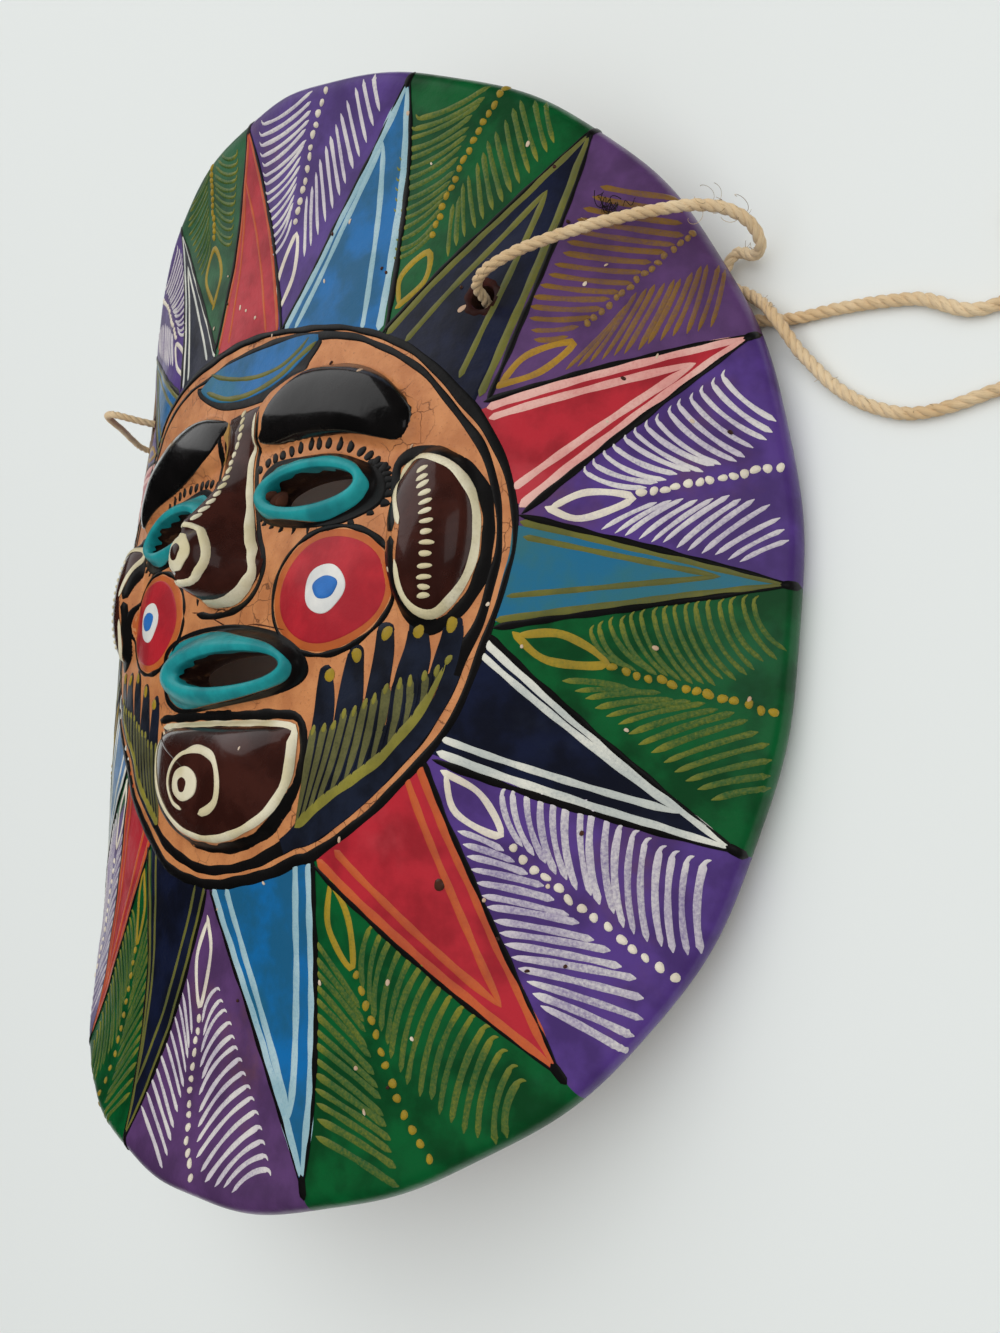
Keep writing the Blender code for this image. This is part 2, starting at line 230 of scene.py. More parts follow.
def nose_half_width(v):
    flare = NOSE_BRIDGE + NOSE_FLARE * np.clip((NOSE_NARROW - v) / 30, 0, 1) ** 2
    below = np.clip((v - NOSE_FOOT) / 11, 0, 1)
    return flare * np.sqrt(1 - (1 - below) ** 2) + 1e-3


def brow_gauge(a, v):
    middle = BROW_MIDDLE - BROW_ARCH * (a - BROW_ARCH_AT) ** 2
    return np.sqrt(((v - middle) / BROW_HALF[1]) ** 2 + ((a - BROW_MIDDLE_OUT) / BROW_HALF[0]) ** 4)


def chin_gauge(u, v):
    du, dv = u - CHIN_AT[0], v - CHIN_AT[1]
    return np.where(dv > 0, gauge(du, dv, CHIN_HALF_WIDTH, CHIN_ABOVE, 6),
                    gauge(du, dv, CHIN_HALF_WIDTH, CHIN_BELOW, 2.2))


def relief(u, v):
    a = np.abs(u)
    rise = np.clip((NOSE_TOP - v) / (NOSE_TOP - 21), 0, 1) ** 2.1
    foot = np.clip((v - NOSE_FOOT) / 4, 0, 1) ** 0.6
    across = np.clip(1 - a / nose_half_width(v), 0, 1)
    hole = gauge(*turn_to_eye(a, v, EYE_HOLE_AT), *EYE_HOLE)
    socket = gauge(*turn_to_eye(a, v, EYE_AT), *EYE_OUTER)
    mouth = gauge(u - MOUTH_HOLE_AT[0], v - MOUTH_HOLE_AT[1], *MOUTH_HOLE)
    lips = gauge(u - MOUTH_AT[0], v - MOUTH_AT[1], *MOUTH_OUTER)
    return np.maximum.reduce([
        BROW_HEIGHT * dome(brow_gauge(a, v), 0.45),
        NOSE_HEIGHT * rise * foot * across ** 0.85,
        1.6 * np.clip((NOSE_TOP - v) / 6, 0, 1) * foot * np.sqrt(across),
        (NOSE_HEIGHT + 1) * dome(gauge(a, v - NOSE_TIP, KNOB_RADIUS, KNOB_RADIUS, 3.2), 0.45),
        EYE_RIM_HEIGHT * ring(hole - 1, 1 - socket),
        LIP_HEIGHT * ring(mouth - 1, 1 - lips),
        EAR_HEIGHT * dome(gauge(a - EAR_AT[0], v - EAR_AT[1], *EAR_HALF), 0.5),
        CHEEK_HEIGHT * dome(gauge(a - CHEEK_AT[0], v - CHEEK_AT[1], CHEEK_RADIUS, CHEEK_RADIUS), 1.2),
        CHIN_HEIGHT * dome(chin_gauge(u, v), 0.5),
    ])


# A finger smooths every foot and edge over about this many millimetres
SMEAR = 0.8
SMEAR_STEPS = [(0.0, 0.0, 0.28)] + [(SMEAR * math.cos(a), SMEAR * math.sin(a), 0.12)
                                    for a in np.arange(6) * math.pi / 3]


def carving(u, v):
    """Height of the carving after a finger has smoothed it, with the unevenness of hand-pressed clay."""
    smoothed = sum(share * relief(u + du, v + dv) for du, dv, share in SMEAR_STEPS)
    finger = 0.16 * np.sin(u / 9.1 + 1.3 * np.sin(v / 17)) * np.sin(v / 7.7 + 0.8)
    palm = 0.22 * np.sin(u / 23 + v / 31 + 2)
    grain = 0.09 * np.sin(u / 3.9 + 2.1 * np.sin(v / 8)) * np.sin(v / 4.3)
    return smoothed + (finger + palm + grain)


def plate(u, v):
    turn = u / BEND_RADIUS
    up = v / HALF_HEIGHT
    lip = HALF_HEIGHT * (-LIP_FALL * up ** 2 + LIP_RISE * up ** 4)
    q = gauge(u, v - DISH_UP, *DISH_HALF)
    dish = DISH_DEPTH * np.clip(1 - q * q, 0, 1) ** 2
    return np.stack([BEND_RADIUS * np.sin(turn), v + 0 * u,
                     GROUND + BEND_RADIUS * (np.cos(turn) - 1) + lip - dish], -1)


def rim_reach(angle):
    """How far the rim is from the middle in a direction."""
    return gauge(np.cos(angle), np.sin(angle), HALF_SPREAD, HALF_HEIGHT, OUTLINE_POWER) ** -1


def rim_edge(angle):
    """The rim as a hand has cut it, slightly uneven."""
    return rim_reach(angle) + 0.3 * np.sin(angle * 9 + 1) + 0.25 * np.sin(angle * 23) - 0.3


NORMAL_STEP = 0.08  # how far apart the points are that a normal is measured between


def across_of(surface, u, v):
    """Unit normals of a surface that is given as a function of u and v."""
    step = NORMAL_STEP
    out = np.cross(surface(u + step, v) - surface(u - step, v), surface(u, v + step) - surface(u, v - step))
    return out / np.linalg.norm(out, axis=-1, keepdims=True)


def carved(u, v):
    """The painted side of the clay, rounded over at the rim and going down the edge beyond it."""
    angle, reach = np.arctan2(v, u), np.maximum(np.hypot(u, v), 1e-9)
    rim = rim_edge(angle)
    inset = np.clip(rim - reach, 0, RIM_FRONT_ROUND)
    depth = RIM_FRONT_ROUND - np.sqrt(RIM_FRONT_ROUND ** 2 - (RIM_FRONT_ROUND - inset) ** 2)
    depth = depth + np.maximum(reach - rim, 0)
    u, v = u * np.minimum(1, rim / reach), v * np.minimum(1, rim / reach)
    height = carving(u, v) * (1 - depth / WALL) - depth
    return plate(u, v) + height[..., None] * across_of(plate, u, v)


def on_mask(u, v, lift):
    """Points of the frame, in metres, a lift in millimetres off the carved clay or down a hole's wall."""
    out = np.where(lift[..., None] < -0.2, across_of(plate, u, v), across_of(carved, u, v))
    points = carved(u, v) + lift[..., None] * out
    points[..., 2] = np.maximum(points[..., 2], 0)
    return points * MM


nose_tip = on_mask(*np.array([[0.0], [NOSE_TIP], [0.0]]))[0]
print("nose tip stands", round(float(nose_tip[2]), 4), "m up")

# %% [markdown]
# ## The clay shell
# The shell is one grid of spokes and steps. Each spoke runs from the middle over the face to the painted
# oval, on over the rays to the rim, round the rounded edge and back behind to the middle. The spokes are
# dealt out so that one meets each ray's tip: there the colour of one panel changes to the next, under the
# ray.

# %% Where the rays end
# Each ray: where its tip is, its two base corners, and the ends of its stripes (two outer, two inner,
# meeting)
RAYS = {
    1: ((3.1, 129), (-20, 77), (13.5, 71.3), (-18.2, 76.5), (12, 71.8), (-12.3, 76.5), (6.6, 73.5),
        (-1.5, 117.7)),
    2: ((58.3, 118.8), (14, 71.2), (52, 60), (15.4, 71.2), (50.1, 61.1), (19.5, 70.4), (44.7, 62.7),
        (49.8, 107)),
    3: ((101, 95.8), (51.5, 60), (81, 38.3), (52.7, 59.6), (79.4, 39.7), (58.4, 56.4), (74.1, 44.7),
        (91.4, 84.1)),
    4: ((134, 47), (80.6, 38), (90.6, 14), (81.4, 36.9), (90.2, 15.2), (82.1, 34.5), (88.5, 18.9),
        (123.6, 41.8)),
    5: ((142, -1.6), (90, 13.2), (85.6, -8.4), (90.5, 12.2), (86.2, -7.2), (91.4, 9.1), (88.5, -2.6),
        (129.5, 0)),
    6: ((132.3, -49), (84.4, -10.2), (73, -34.2), (83.8, -11.1), (73.9, -33), (82.8, -13.4), (74.7, -30.3),
        (122.5, -42.7)),
    7: ((101, -90.4), (70.4, -34.8), (42.2, -57.2), (69.6, -35.7), (43.2, -56.3), (66.5, -37.8),
        (48.2, -53.9),
        (89.2, -80.1)),
    8: ((50, -119.8), (41.4, -56.4), (3.8, -66.4), (40.5, -56.9), (4.9, -66.1), (36.2, -57.3), (10.6, -65.5),
        (42.8, -108.6)),
    9: ((-15.2, -127.8), (1.6, -66.2), (-34.4, -59.4), (0.8, -66.2), (-33.5, -59.6), (-3.6, -66.2),
        (-28, -60.4),
        (-17.6, -116.5)),
    16: ((-44, 121.6), (-43.8, 72.4), (-20.4, 75.8), (-42.3, 72.9), (-20.7, 75.4), (-38.6, 74), (-25.4, 75.8),
         (-41, 110)),
}
# The rays on the far side, of which the picture shows little: the direction of the tip and the base corners
FAR_RAYS = {
    10: (-119, (-33, -58.4), (-56, -38.4)),
    11: (-141, (-57.4, -36.6), (-77, -15)),
    12: (-162.5, (-78.4, -13.4), (-87.6, 9.6)),
    13: (175.7, (-88, 11), (-80.6, 36)),
    14: (154, (-79.6, 38), (-64.4, 56)),
    15: (132, (-62.6, 57.4), (-45.2, 71.6)),
}


def between(a, b, share):
    return tuple(p + (q - p) * share for p, q in zip(a, b))


def far_ray(degrees, base_a, base_b):
    """Fills in a ray's tip and stripes from its direction and base corners."""
    angle = math.radians(degrees)
    tip = tuple(0.985 * float(rim_reach(angle)) * np.array([math.cos(angle), math.sin(angle)]))
    middle = between(base_a, base_b, 0.5)
    return (tip, base_a, base_b, between(base_a, base_b, 0.05), between(base_b, base_a, 0.05),
            between(base_a, base_b, 0.22), between(base_b, base_a, 0.22), between(middle, tip, 0.8))


for number, (degrees, base_a, base_b) in FAR_RAYS.items():
    RAYS[number] = far_ray(degrees, base_a, base_b)
RAYS = dict(sorted(RAYS.items()))
print(len(RAYS), "rays")

# %% [markdown]
# ## The painted oval
# The face is framed by an oval drawn by hand, so it isn't a true ellipse. Four lines run round it: where the
# rays start, the two sides of a line left bare, and the inner side of the black band. They are kept at some
# directions and read back as a smooth reach from the middle for any direction.

# %% The oval's lines
# direction in degrees, then how far the four lines are from the middle
FRAME = [(1, 88.4, 87.6, 86.4, 84), (5, 90, 89.4, 87.5, 85.9), (12, 91, 89.6, 87.9, 86),
         (20, 89.2, 87.3, 86.8, 84.6),
         (28, 86.4, 84, 83.5, 81.6), (38, 82.9, 81.2, 80.7, 79), (52, 78.2, 77, 76.6, 74.8),
         (68, 73.8, 72.6, 72.8, 70.4), (85, 73.2, 71.9, 70.9, 69), (104, 77, 74.9, 72.5, 71),
         (117, 82.1, 80.5, 78.4, 77), (130, 87, 85.8, 84.3, 82.4), (142, 88, 86.8, 85.2, 82.8),
         (155, 89, 87.8, 86, 83.6), (168, 89.3, 88.1, 86.3, 84), (180, 88, 86.9, 85.1, 82.8),
         (190, 84.5, 83, 81.3, 79), (200, 78, 76.2, 74.6, 72), (211, 72, 69, 67.2, 64.5),
         (222, 69.5, 67, 65.3, 62.5), (233, 67.4, 64.6, 63.2, 60.6), (253, 66.8, 64.8, 63.2, 60.4),
         (277, 66.2, 64.1, 63.4, 61), (289, 66.9, 64.5, 63.8, 60.9), (302, 68.6, 66.2, 65.3, 61.2),
         (306, 70.3, 68, 67, 60.8), (315, 72, 70.2, 69.4, 61.3), (324, 75, 73.4, 72.3, 65),
         (331, 78, 76, 75, 69),
         (337.5, 80.8, 79.2, 77.9, 73.2), (343.5, 82.9, 81.8, 80.2, 76.4), (349.5, 84.6, 83, 81.9, 77),
         (355, 86.3, 84.9, 84.2, 81.8)]
RAYS_START, LINE_OUTER, LINE_INNER, BAND_INNER = 1, 2, 3, 4


def smooth_curve(points, count, closed=False):
    """Points evenly spaced along a smooth curve through the given ones."""
    p = np.array(points, float)
    if closed:
        p = np.concatenate([p[-1:], p, p[:2]])
    else:
        p = np.concatenate([[2 * p[0] - p[1]], p, [2 * p[-1] - p[-2]]])
    fine = []
    for a, b, c, d in zip(p, p[1:], p[2:], p[3:]):
        t = np.arange(12)[:, None] / 12
        fine.append(0.5 * (2 * b + (c - a) * t + (2 * a - 5 * b + 4 * c - d) * t ** 2
                           + (3 * b - a - 3 * c + d) * t ** 3))
    fine = np.concatenate(fine + [p[-2][None]])
    run = np.concatenate([[0], np.cumsum(np.linalg.norm(np.diff(fine, axis=0), axis=1))])
    at = np.linspace(0, run[-1], count)
    return np.stack([np.interp(at, run, fine[:, k]) for k in range(p.shape[1])], -1)


def whole_turn(rows):
    """The table's rows with two repeated a turn before and after, so that it can be read all round."""
    before = [(row[0] - 360, *row[1:]) for row in rows[-2:]]
    return before + rows + [(row[0] + 360, *row[1:]) for row in rows[:2]]


frame_lines = smooth_curve(whole_turn(FRAME), 900)


def frame_reach(angle, column=RAYS_START):
    """How far one of the frame's lines is from the middle in a direction."""
    return np.interp(np.degrees(angle) % 360, frame_lines[:, 0], frame_lines[:, column])


print("oval", round(float(frame_lines[:, RAYS_START].max()), 1), "mm at its widest reach")

# %% [markdown]
# ## Finishes of the clay
# The ground colours are thick water paint brushed on fired clay and varnished. Each is mottled at the size of
# the brush's laps, about a centimetre, and speckled at the size of the clay's grit, about half a millimetre.
# The varnish is a thin clear coat with a dull gloss. The back is bare clay, rubbed smooth.


# %% Finishes of the ground
PAINT_LAP_MM = 11.0
THIN_PATCH_MM = 38.0


def grit_and_laps(tree, lap_mm, grit_mm):
    """Soft blotches the size of a brush's lap, and fine grit, both from 0 to 1."""
    place = add(tree, "TexCoord").outputs["Object"]
    laps = add(tree, "TexNoise", {"Vector": place, "Scale": 1000 / lap_mm, "Detail": 4.0, "Roughness": 0.55})
    grit = add(tree, "TexNoise", {"Vector": place, "Scale": 1000 / grit_mm, "Detail": 2.0, "Roughness": 0.6})
    return place, laps.outputs["Fac"], grit.outputs["Fac"]


def mix(tree, share, first, second):
    made = add(tree, "Mix", {0: share}, data_type="RGBA", clamp_factor=True)
    for index, value in ((6, first), (7, second)):
        if isinstance(value, bpy.types.NodeSocket):
            tree.links.new(value, made.inputs[index])
        else:
            made.inputs[index].default_value = value
    return made.outputs[2]


def share_of(tree, value, low, high, to_low=0.0, to_high=1.0):
    """A value from low to high as a share from to_low to to_high."""
    ranged = add(tree, "MapRange", {"Value": value, "From Min": low, "From Max": high, "To Min": to_low,
                                    "To Max": to_high}, interpolation_type="SMOOTHSTEP")
    return ranged.outputs["Result"]


def varnished(name, main, deep, thin=None, under=None, roughness=0.34, coat=0.3, gloss=0.22):
    """Water paint under varnish: thin shows where the coat is thin, under where a stroke is dry."""
    material, tree, shader = new_material(name)
    place, laps, grit = grit_and_laps(tree, PAINT_LAP_MM, 0.55)
    colour = mix(tree, share_of(tree, laps, 0.36, 0.64), linear(main), linear(deep))
    if thin:
        patches = add(tree, "TexNoise", {"Vector": place, "Scale": 1000 / THIN_PATCH_MM, "Detail": 5.0,
                                         "Roughness": 0.62}).outputs["Fac"]
        colour = mix(tree, share_of(tree, patches, 0.56, 0.74, 0.0, 0.75), colour, linear(thin))
    if under:
        load = add(tree, "Attribute", attribute_name="load", attribute_type="GEOMETRY").outputs["Fac"]
        uneven = add(tree, "Math", {0: grit, 1: -0.5}, operation="ADD").outputs[0]
        scattered = add(tree, "Math", {0: uneven, 1: 0.9, 2: load}, operation="MULTIPLY_ADD").outputs[0]
        colour = mix(tree, share_of(tree, scattered, 0.0, 1.0), linear(under), colour)
    speck = share_of(tree, grit, 0.62, 0.78, 0.0, 0.35)
    colour = mix(tree, speck, colour, mix(tree, 0.5, colour, linear(deep)))
    tree.links.new(colour, shader.inputs["Base Color"])
    dull = share_of(tree, laps, 0.3, 0.7, roughness - 0.05, roughness + 0.1)
    tree.links.new(dull, shader.inputs["Roughness"])
    bump = add(tree, "Bump", {"Strength": 0.12, "Distance": 0.0003, "Height": grit})
    lap_bump = add(tree, "Bump", {"Strength": 0.35, "Distance": 0.0012, "Height": laps,
                                  "Normal": bump.outputs["Normal"]})
    tree.links.new(lap_bump.outputs["Normal"], shader.inputs["Normal"])
    shader.inputs["IOR"].default_value = 1.5
    shader.inputs["Specular IOR Level"].default_value = 0.22
    shader.inputs["Coat Weight"].default_value = coat
    shader.inputs["Coat Roughness"].default_value = gloss
    return material


def terracotta_ground():
    """Bare orange clay under varnish, with hair cracks and brown grit."""
    material, tree, shader = new_material("varnished terracotta")
    place, laps, grit = grit_and_laps(tree, 8.0, 0.7)
    colour = mix(tree, share_of(tree, laps, 0.35, 0.68), linear("#cd8752"), linear("#b6703f"))
    bend = add(tree, "TexNoise", {"Vector": place, "Scale": 1000 / 3.0, "Detail": 3.0})
    moved = add(tree, "MixRGB", {0: 0.0022, 1: place, 2: bend.outputs["Color"]}, blend_type="ADD").outputs[0]
    cells = add(tree, "TexVoronoi", {"Vector": moved, "Scale": 1000 / 5.2}, feature="DISTANCE_TO_EDGE")
    where = add(tree, "TexNoise", {"Vector": place, "Scale": 1000 / 17, "Detail": 2.0}).outputs["Fac"]
    crack = share_of(tree, cells.outputs["Distance"], 0.0, 0.028, 1.0, 0.0)
    near = share_of(tree, where, 0.5, 0.62)
    shown = add(tree, "Math", {0: crack, 1: near}, operation="MULTIPLY").outputs[0]
    colour = mix(tree, share_of(tree, grit, 0.6, 0.75, 0.0, 0.6), colour, linear("#8a5230"))
    colour = mix(tree, share_of(tree, shown, 0.0, 1.0, 0.0, 0.75), colour, linear("#5b3018"))
    tree.links.new(colour, shader.inputs["Base Color"])
    tree.links.new(share_of(tree, laps, 0.3, 0.7, 0.36, 0.5), shader.inputs["Roughness"])
    bump = add(tree, "Bump", {"Strength": 0.3, "Distance": 0.0004, "Height": grit})
    crack_bump = add(tree, "Bump", {"Strength": 0.6, "Distance": 0.0002, "Height": shown,
                                    "Normal": bump.outputs["Normal"]}, invert=True)
    tree.links.new(crack_bump.outputs["Normal"], shader.inputs["Normal"])
    shader.inputs["Coat Weight"].default_value = 0.2
    shader.inputs["Coat Roughness"].default_value = 0.3
    return material


def bare_clay(name, main, deep):
    """Fired clay rubbed with wet fingers: long soft ridges, pores and a little soot."""
    material, tree, shader = new_material(name)
    place, laps, grit = grit_and_laps(tree, 16.0, 0.8)
    stretched = add(tree, "Mapping", {"Vector": place, "Scale": (60, 700, 300)})
    ridges = add(tree, "TexNoise", {"Vector": stretched.outputs["Vector"], "Scale": 1.0, "Detail": 3.0})
    colour = mix(tree, share_of(tree, laps, 0.3, 0.7), linear(main), linear(deep))
    colour = mix(tree, share_of(tree, ridges.outputs["Fac"], 0.52, 0.7, 0.0, 0.3), colour, linear("#b57e54"))
    colour = mix(tree, share_of(tree, grit, 0.6, 0.72, 0.0, 0.7), colour, linear("#57301a"))
    tree.links.new(colour, shader.inputs["Base Color"])
    shader.inputs["Roughness"].default_value = 0.82
    bump = add(tree, "Bump", {"Strength": 0.5, "Distance": 0.0005, "Height": grit})
    ridge_bump = add(tree, "Bump", {"Strength": 0.5, "Distance": 0.001, "Height": ridges.outputs["Fac"],
                                    "Normal": bump.outputs["Normal"]})
    tree.links.new(ridge_bump.outputs["Normal"], shader.inputs["Normal"])
    return material


GROUND_FINISHES = {
    "clay": bare_clay("bare fired clay", "#9c6039", "#7c4728"),
    "terracotta": terracotta_ground(),
    "green": varnished("green water paint", "#045729", "#023e1a", thin="#145836"),
    "purple": varnished("violet water paint", "#543882", "#432a68", thin="#5f3d4c"),
    "plum": varnished("browned violet water paint", "#5c3c6c", "#4b3058", thin="#6e4540"),
    # Painted shade: the holes' clay is dark brown to stand for the shade inside them.
    "hole clay with painted shade": bare_clay("hole walls darkened as painted shade", "#43261a", "#2a1711"),
}
print(len(GROUND_FINISHES), "ground finishes")

# %% [markdown]
# ## Making the shell
# The grid is laid out with one operator, and each vertex is then moved to its place by its spoke and its
# step. Its doubles are merged at the two poles and along the seam, and the holes are cut with rods.

# %% The shell's grid
SPOKES_PER_GAP = 30
SPOKES = SPOKES_PER_GAP * len(RAYS)
FACE_STEPS = 96
RAY_STEPS = 44
ROUND_STEPS = 6
BACK_STEPS = 22
PANEL_COLOURS = {1: "purple", 2: "green", 3: "plum", 4: "purple", 5: "green", 6: "purple", 7: "green",
                 8: "plum", 9: "green", 10: "purple", 11: "green", 12: "purple", 13: "green", 14: "purple",
                 15: "purple", 16: "green"}  # the panel that follows each ray, going clockwise


def spoke_angles():
    """One direction for each spoke, clockwise, with a spoke on every ray's tip."""
    tips = np.unwrap([math.atan2(ray[0][1], ray[0][0]) for ray in RAYS.values()])
    tips = np.append(tips, tips[0] - 2 * math.pi)
    return np.interp(np.arange(SPOKES) / SPOKES_PER_GAP, np.arange(len(tips)), tips)


def shell_steps():
    """(share inside the oval, share from oval to rim, way in from the rim, depth below the front, back)"""
    steps = [(i / FACE_STEPS, 0.0, 0.0, 0.0, 0.0) for i in range(FACE_STEPS + 1)]
    steps += [(1.0, i / RAY_STEPS, RIM_FRONT_ROUND, 0.0, 0.0) for i in range(1, RAY_STEPS + 1)]
    turns = [math.pi / 2 * i / ROUND_STEPS for i in range(ROUND_STEPS + 1)]
    for a in turns[1:]:
        way_in, depth = RIM_FRONT_ROUND * (1 - math.sin(a)), RIM_FRONT_ROUND * (1 - math.cos(a))
        steps.append((1.0, 1.0, way_in, depth, 0.0))
    for a in turns:
        way_in, depth = RIM_BACK_ROUND * (1 - math.cos(a)), WALL - RIM_BACK_ROUND * (1 - math.sin(a))
        steps.append((1.0, 1.0, way_in, depth, 0.0))
    for i in range(1, BACK_STEPS + 1):
        steps.append((1.0 - i / BACK_STEPS, 1.0, RIM_BACK_ROUND, WALL, 1.0))
    return np.array(steps)


def hollow(u, v):
    """How much further in the back goes behind the nose and the chin."""
    behind_nose = 7 * np.exp(-(u / 11) ** 2 - ((v - 18) / 17) ** 2)
    behind_chin = 4 * np.exp(-(u / 24) ** 2 - ((v + 40) / 12) ** 2)
    return behind_nose + behind_chin


def shell_place(spoke, step):
    inside, outside, inset, depth, back = shell_steps()[step].T
    angle = spoke_angles()[spoke]
    oval = frame_reach(angle)
    rim = rim_edge(angle)
    reach = np.where(back > 0, inside * (rim - inset), inside * oval + outside * (rim - inset - oval))
    u, v = reach * np.cos(angle), reach * np.sin(angle)
    front = (depth == 0) & (back == 0)
    height = np.where(front, carving(u, v), 0) + back * hollow(u, v)
    edge = (~front & (back == 0)) * carving(u, v)
    points = plate(u, v) + (height + edge * (1 - depth / WALL) - depth)[:, None] * across_of(plate, u, v)
    points[:, 2] = np.maximum(points[:, 2], 0)
    return points * MM


bm = bmesh.new()
steps = shell_steps()
bmesh.ops.create_grid(bm, x_segments=SPOKES, y_segments=len(steps) - 1, size=1)
flat = np.array([v.co[:] for v in bm.verts])
spoke = np.rint((flat[:, 0] + 1) / 2 * SPOKES).astype(int)
step = np.rint((flat[:, 1] + 1) / 2 * (len(steps) - 1)).astype(int)
FINISH_SLOTS = list(GROUND_FINISHES)
panel_names = list(PANEL_COLOURS.values())
for face in bm.faces:
    x = min(spoke[v.index] for v in face.verts) // SPOKES_PER_GAP
    y = min(step[v.index] for v in face.verts)
    back_start = FACE_STEPS + RAY_STEPS + ROUND_STEPS + ROUND_STEPS // 2 + 1
    zone = "terracotta" if y < FACE_STEPS else "clay" if y >= back_start else panel_names[x]
    face.material_index = FINISH_SLOTS.index(zone)
for vertex, point in zip(bm.verts, shell_place(spoke % SPOKES, step)):
    vertex.co = point
bmesh.ops.remove_doubles(bm, verts=bm.verts, dist=0.001 * MM)
bmesh.ops.recalc_face_normals(bm, faces=bm.faces)
shell = new_object("shell", bm)
for finish in GROUND_FINISHES.values():
    shell.data.materials.append(finish)
print("shell", len(shell.data.polygons), "faces before the holes")

# %% [markdown]
# The holes are pressed through the wet clay with a stick, so each is a rod that stands square to the plate.
# The rods carry a darker finish, painted shade for the insides of the holes, which the cut takes over for the
# walls of the holes.


# %% Cut the holes
def rod(u, v, half_u, half_v, tilt=0.0):
    """An elliptic rod through the wall at a place of the plate."""
    at_u, at_v = np.array([u]), np.array([v])
    at = Vector(plate(at_u, at_v)[0]) * MM
    out = Vector(across_of(plate, at_u, at_v)[0])
    up = (Vector((0, 1, 0)) - out * out.y).normalized()
    turn = Matrix((up.cross(out), up, out)).transposed().to_4x4() @ Matrix.Rotation(tilt, 4, "Z")
    bm = bmesh.new()
    bmesh.ops.create_cone(bm, cap_ends=True, segments=64, radius1=1, radius2=1, depth=2)
    size = Matrix.Diagonal((half_u * MM, half_v * MM, 2.5 * WALL * MM, 1))
    bmesh.ops.transform(bm, matrix=Matrix.Translation(at) @ turn @ size, verts=bm.verts)
    # The rod's dark clay is painted shade for the walls of the hole.
    return new_object("rod", bm, GROUND_FINISHES["hole clay with painted shade"], smooth=False)


rods = [rod(side * EYE_HOLE_AT[0], EYE_HOLE_AT[1], *EYE_HOLE, side * EYE_TILT) for side in (1, -1)]
rods.append(rod(*MOUTH_HOLE_AT, *MOUTH_HOLE))
rods += [rod(u, v, CORD_HOLE_RADIUS, CORD_HOLE_RADIUS) for u, v in CORD_HOLES]
for tool in rods:
    cut = shell.modifiers.new("hole", "BOOLEAN")
    cut.operation = "DIFFERENCE"
    cut.solver = "EXACT"
    cut.object = tool
    cut.material_mode = "TRANSFER"
mask_mesh = bpy.data.meshes.new_from_object(shell.evaluated_get(bpy.context.evaluated_depsgraph_get()))
mask_mesh.name = "painted_mask"
for tool in rods + [shell]:
    bpy.data.objects.remove(tool)
mask_mesh.shade_smooth()
mask_mesh.set_sharp_from_angle(angle=math.radians(58))
mask = bpy.data.objects.new("painted_mask", mask_mesh)
bpy.context.scene.collection.objects.link(mask)
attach(mask, "root")
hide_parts("sun_mask")
print("mask", sum(len(p.vertices) - 2 for p in mask_mesh.polygons), "triangles")

# %% [markdown]
# ## Laying paint
# A stroke is a thin sheet, crowned in the middle and sunk at its edges, so it meets the clay as paint does.
# All strokes are drawn flat first, on the developed surface. Only then is the whole drawing bent onto the
# mask. Every vertex keeps how loaded the brush was, which the finish uses to let the ground through.

# %% Drawing with a brush
SHEETS = {}  # finish name: list of sheets, each rows x columns x (u, v, lift, load)
SUNK = -0.07
hand = random.Random(11)


def keep_sheet(finish, sheet):
    """Keeps a sheet with its columns running so that it faces out."""
    along = sheet[1:, :-1, :2] - sheet[:-1, :-1, :2]
    across = sheet[:-1, 1:, :2] - sheet[:-1, :-1, :2]
    turning = (across[..., 0] * along[..., 1] - across[..., 1] * along[..., 0]).sum()
    SHEETS.setdefault(finish, []).append(sheet if turning > 0 else sheet[:, ::-1])


def lifted(place, lift, load=1.0):
    """The points of a sheet, each with its lift off the clay and the brush's load."""
    extra = [np.broadcast_to(value, place.shape[:2]) for value in (lift, load)]
    return np.concatenate([place, np.stack(extra, -1)], -1)


def stroke(finish, points, width, start=None, end=None, load=(1.0, 1.0), lift=0.0, thick=0.13, wobble=0.07):
    """One stroke along points; start and end are how long the brush takes to open and close."""
    points = np.array(points, float)
    length = np.linalg.norm(np.diff(points, axis=0), axis=1).sum()
    count = int(np.clip(length / 1.1, 7, 90))
    line = smooth_curve(points, count) if len(points) > 2 else points[0] + (
        np.linspace(0, 1, count)[:, None] * (points[1] - points[0]))
    run = np.linspace(0, length, count)
    start = width / 2 if start is None else start
    end = width / 2 if end is None else end
    opened = np.clip((run + 0.02) / start, 0.001, 1) ** 0.5
    closed = np.clip((length - run + 0.02) / end, 0.001, 1) ** 0.5
    phase = hand.uniform(0, 6)
    waver = 1 + wobble * np.sin(run / 2.9 + phase) + wobble * np.sin(run / 1.3 + 2 * phase)
    half = width / 2 * (opened * closed) * waver
    way = np.gradient(line, axis=0)
    way /= np.linalg.norm(way, axis=1, keepdims=True) + 1e-9
    side = np.stack([-way[:, 1], way[:, 0]], -1)
    share = np.array([-1, -0.62, 0, 0.62, 1])
    crown = np.array([SUNK, 0.7 * thick, thick, 0.7 * thick, SUNK])
    place = line[:, None] + side[:, None] * (half[:, None] * share)[..., None]
    lifts = lift + crown[None] * np.clip(half / (width / 2), 0.3, 1)[:, None]
    loads = np.interp(run, np.linspace(0, length, len(load)), load)
    keep_sheet(finish, lifted(place, lifts, loads[:, None]))


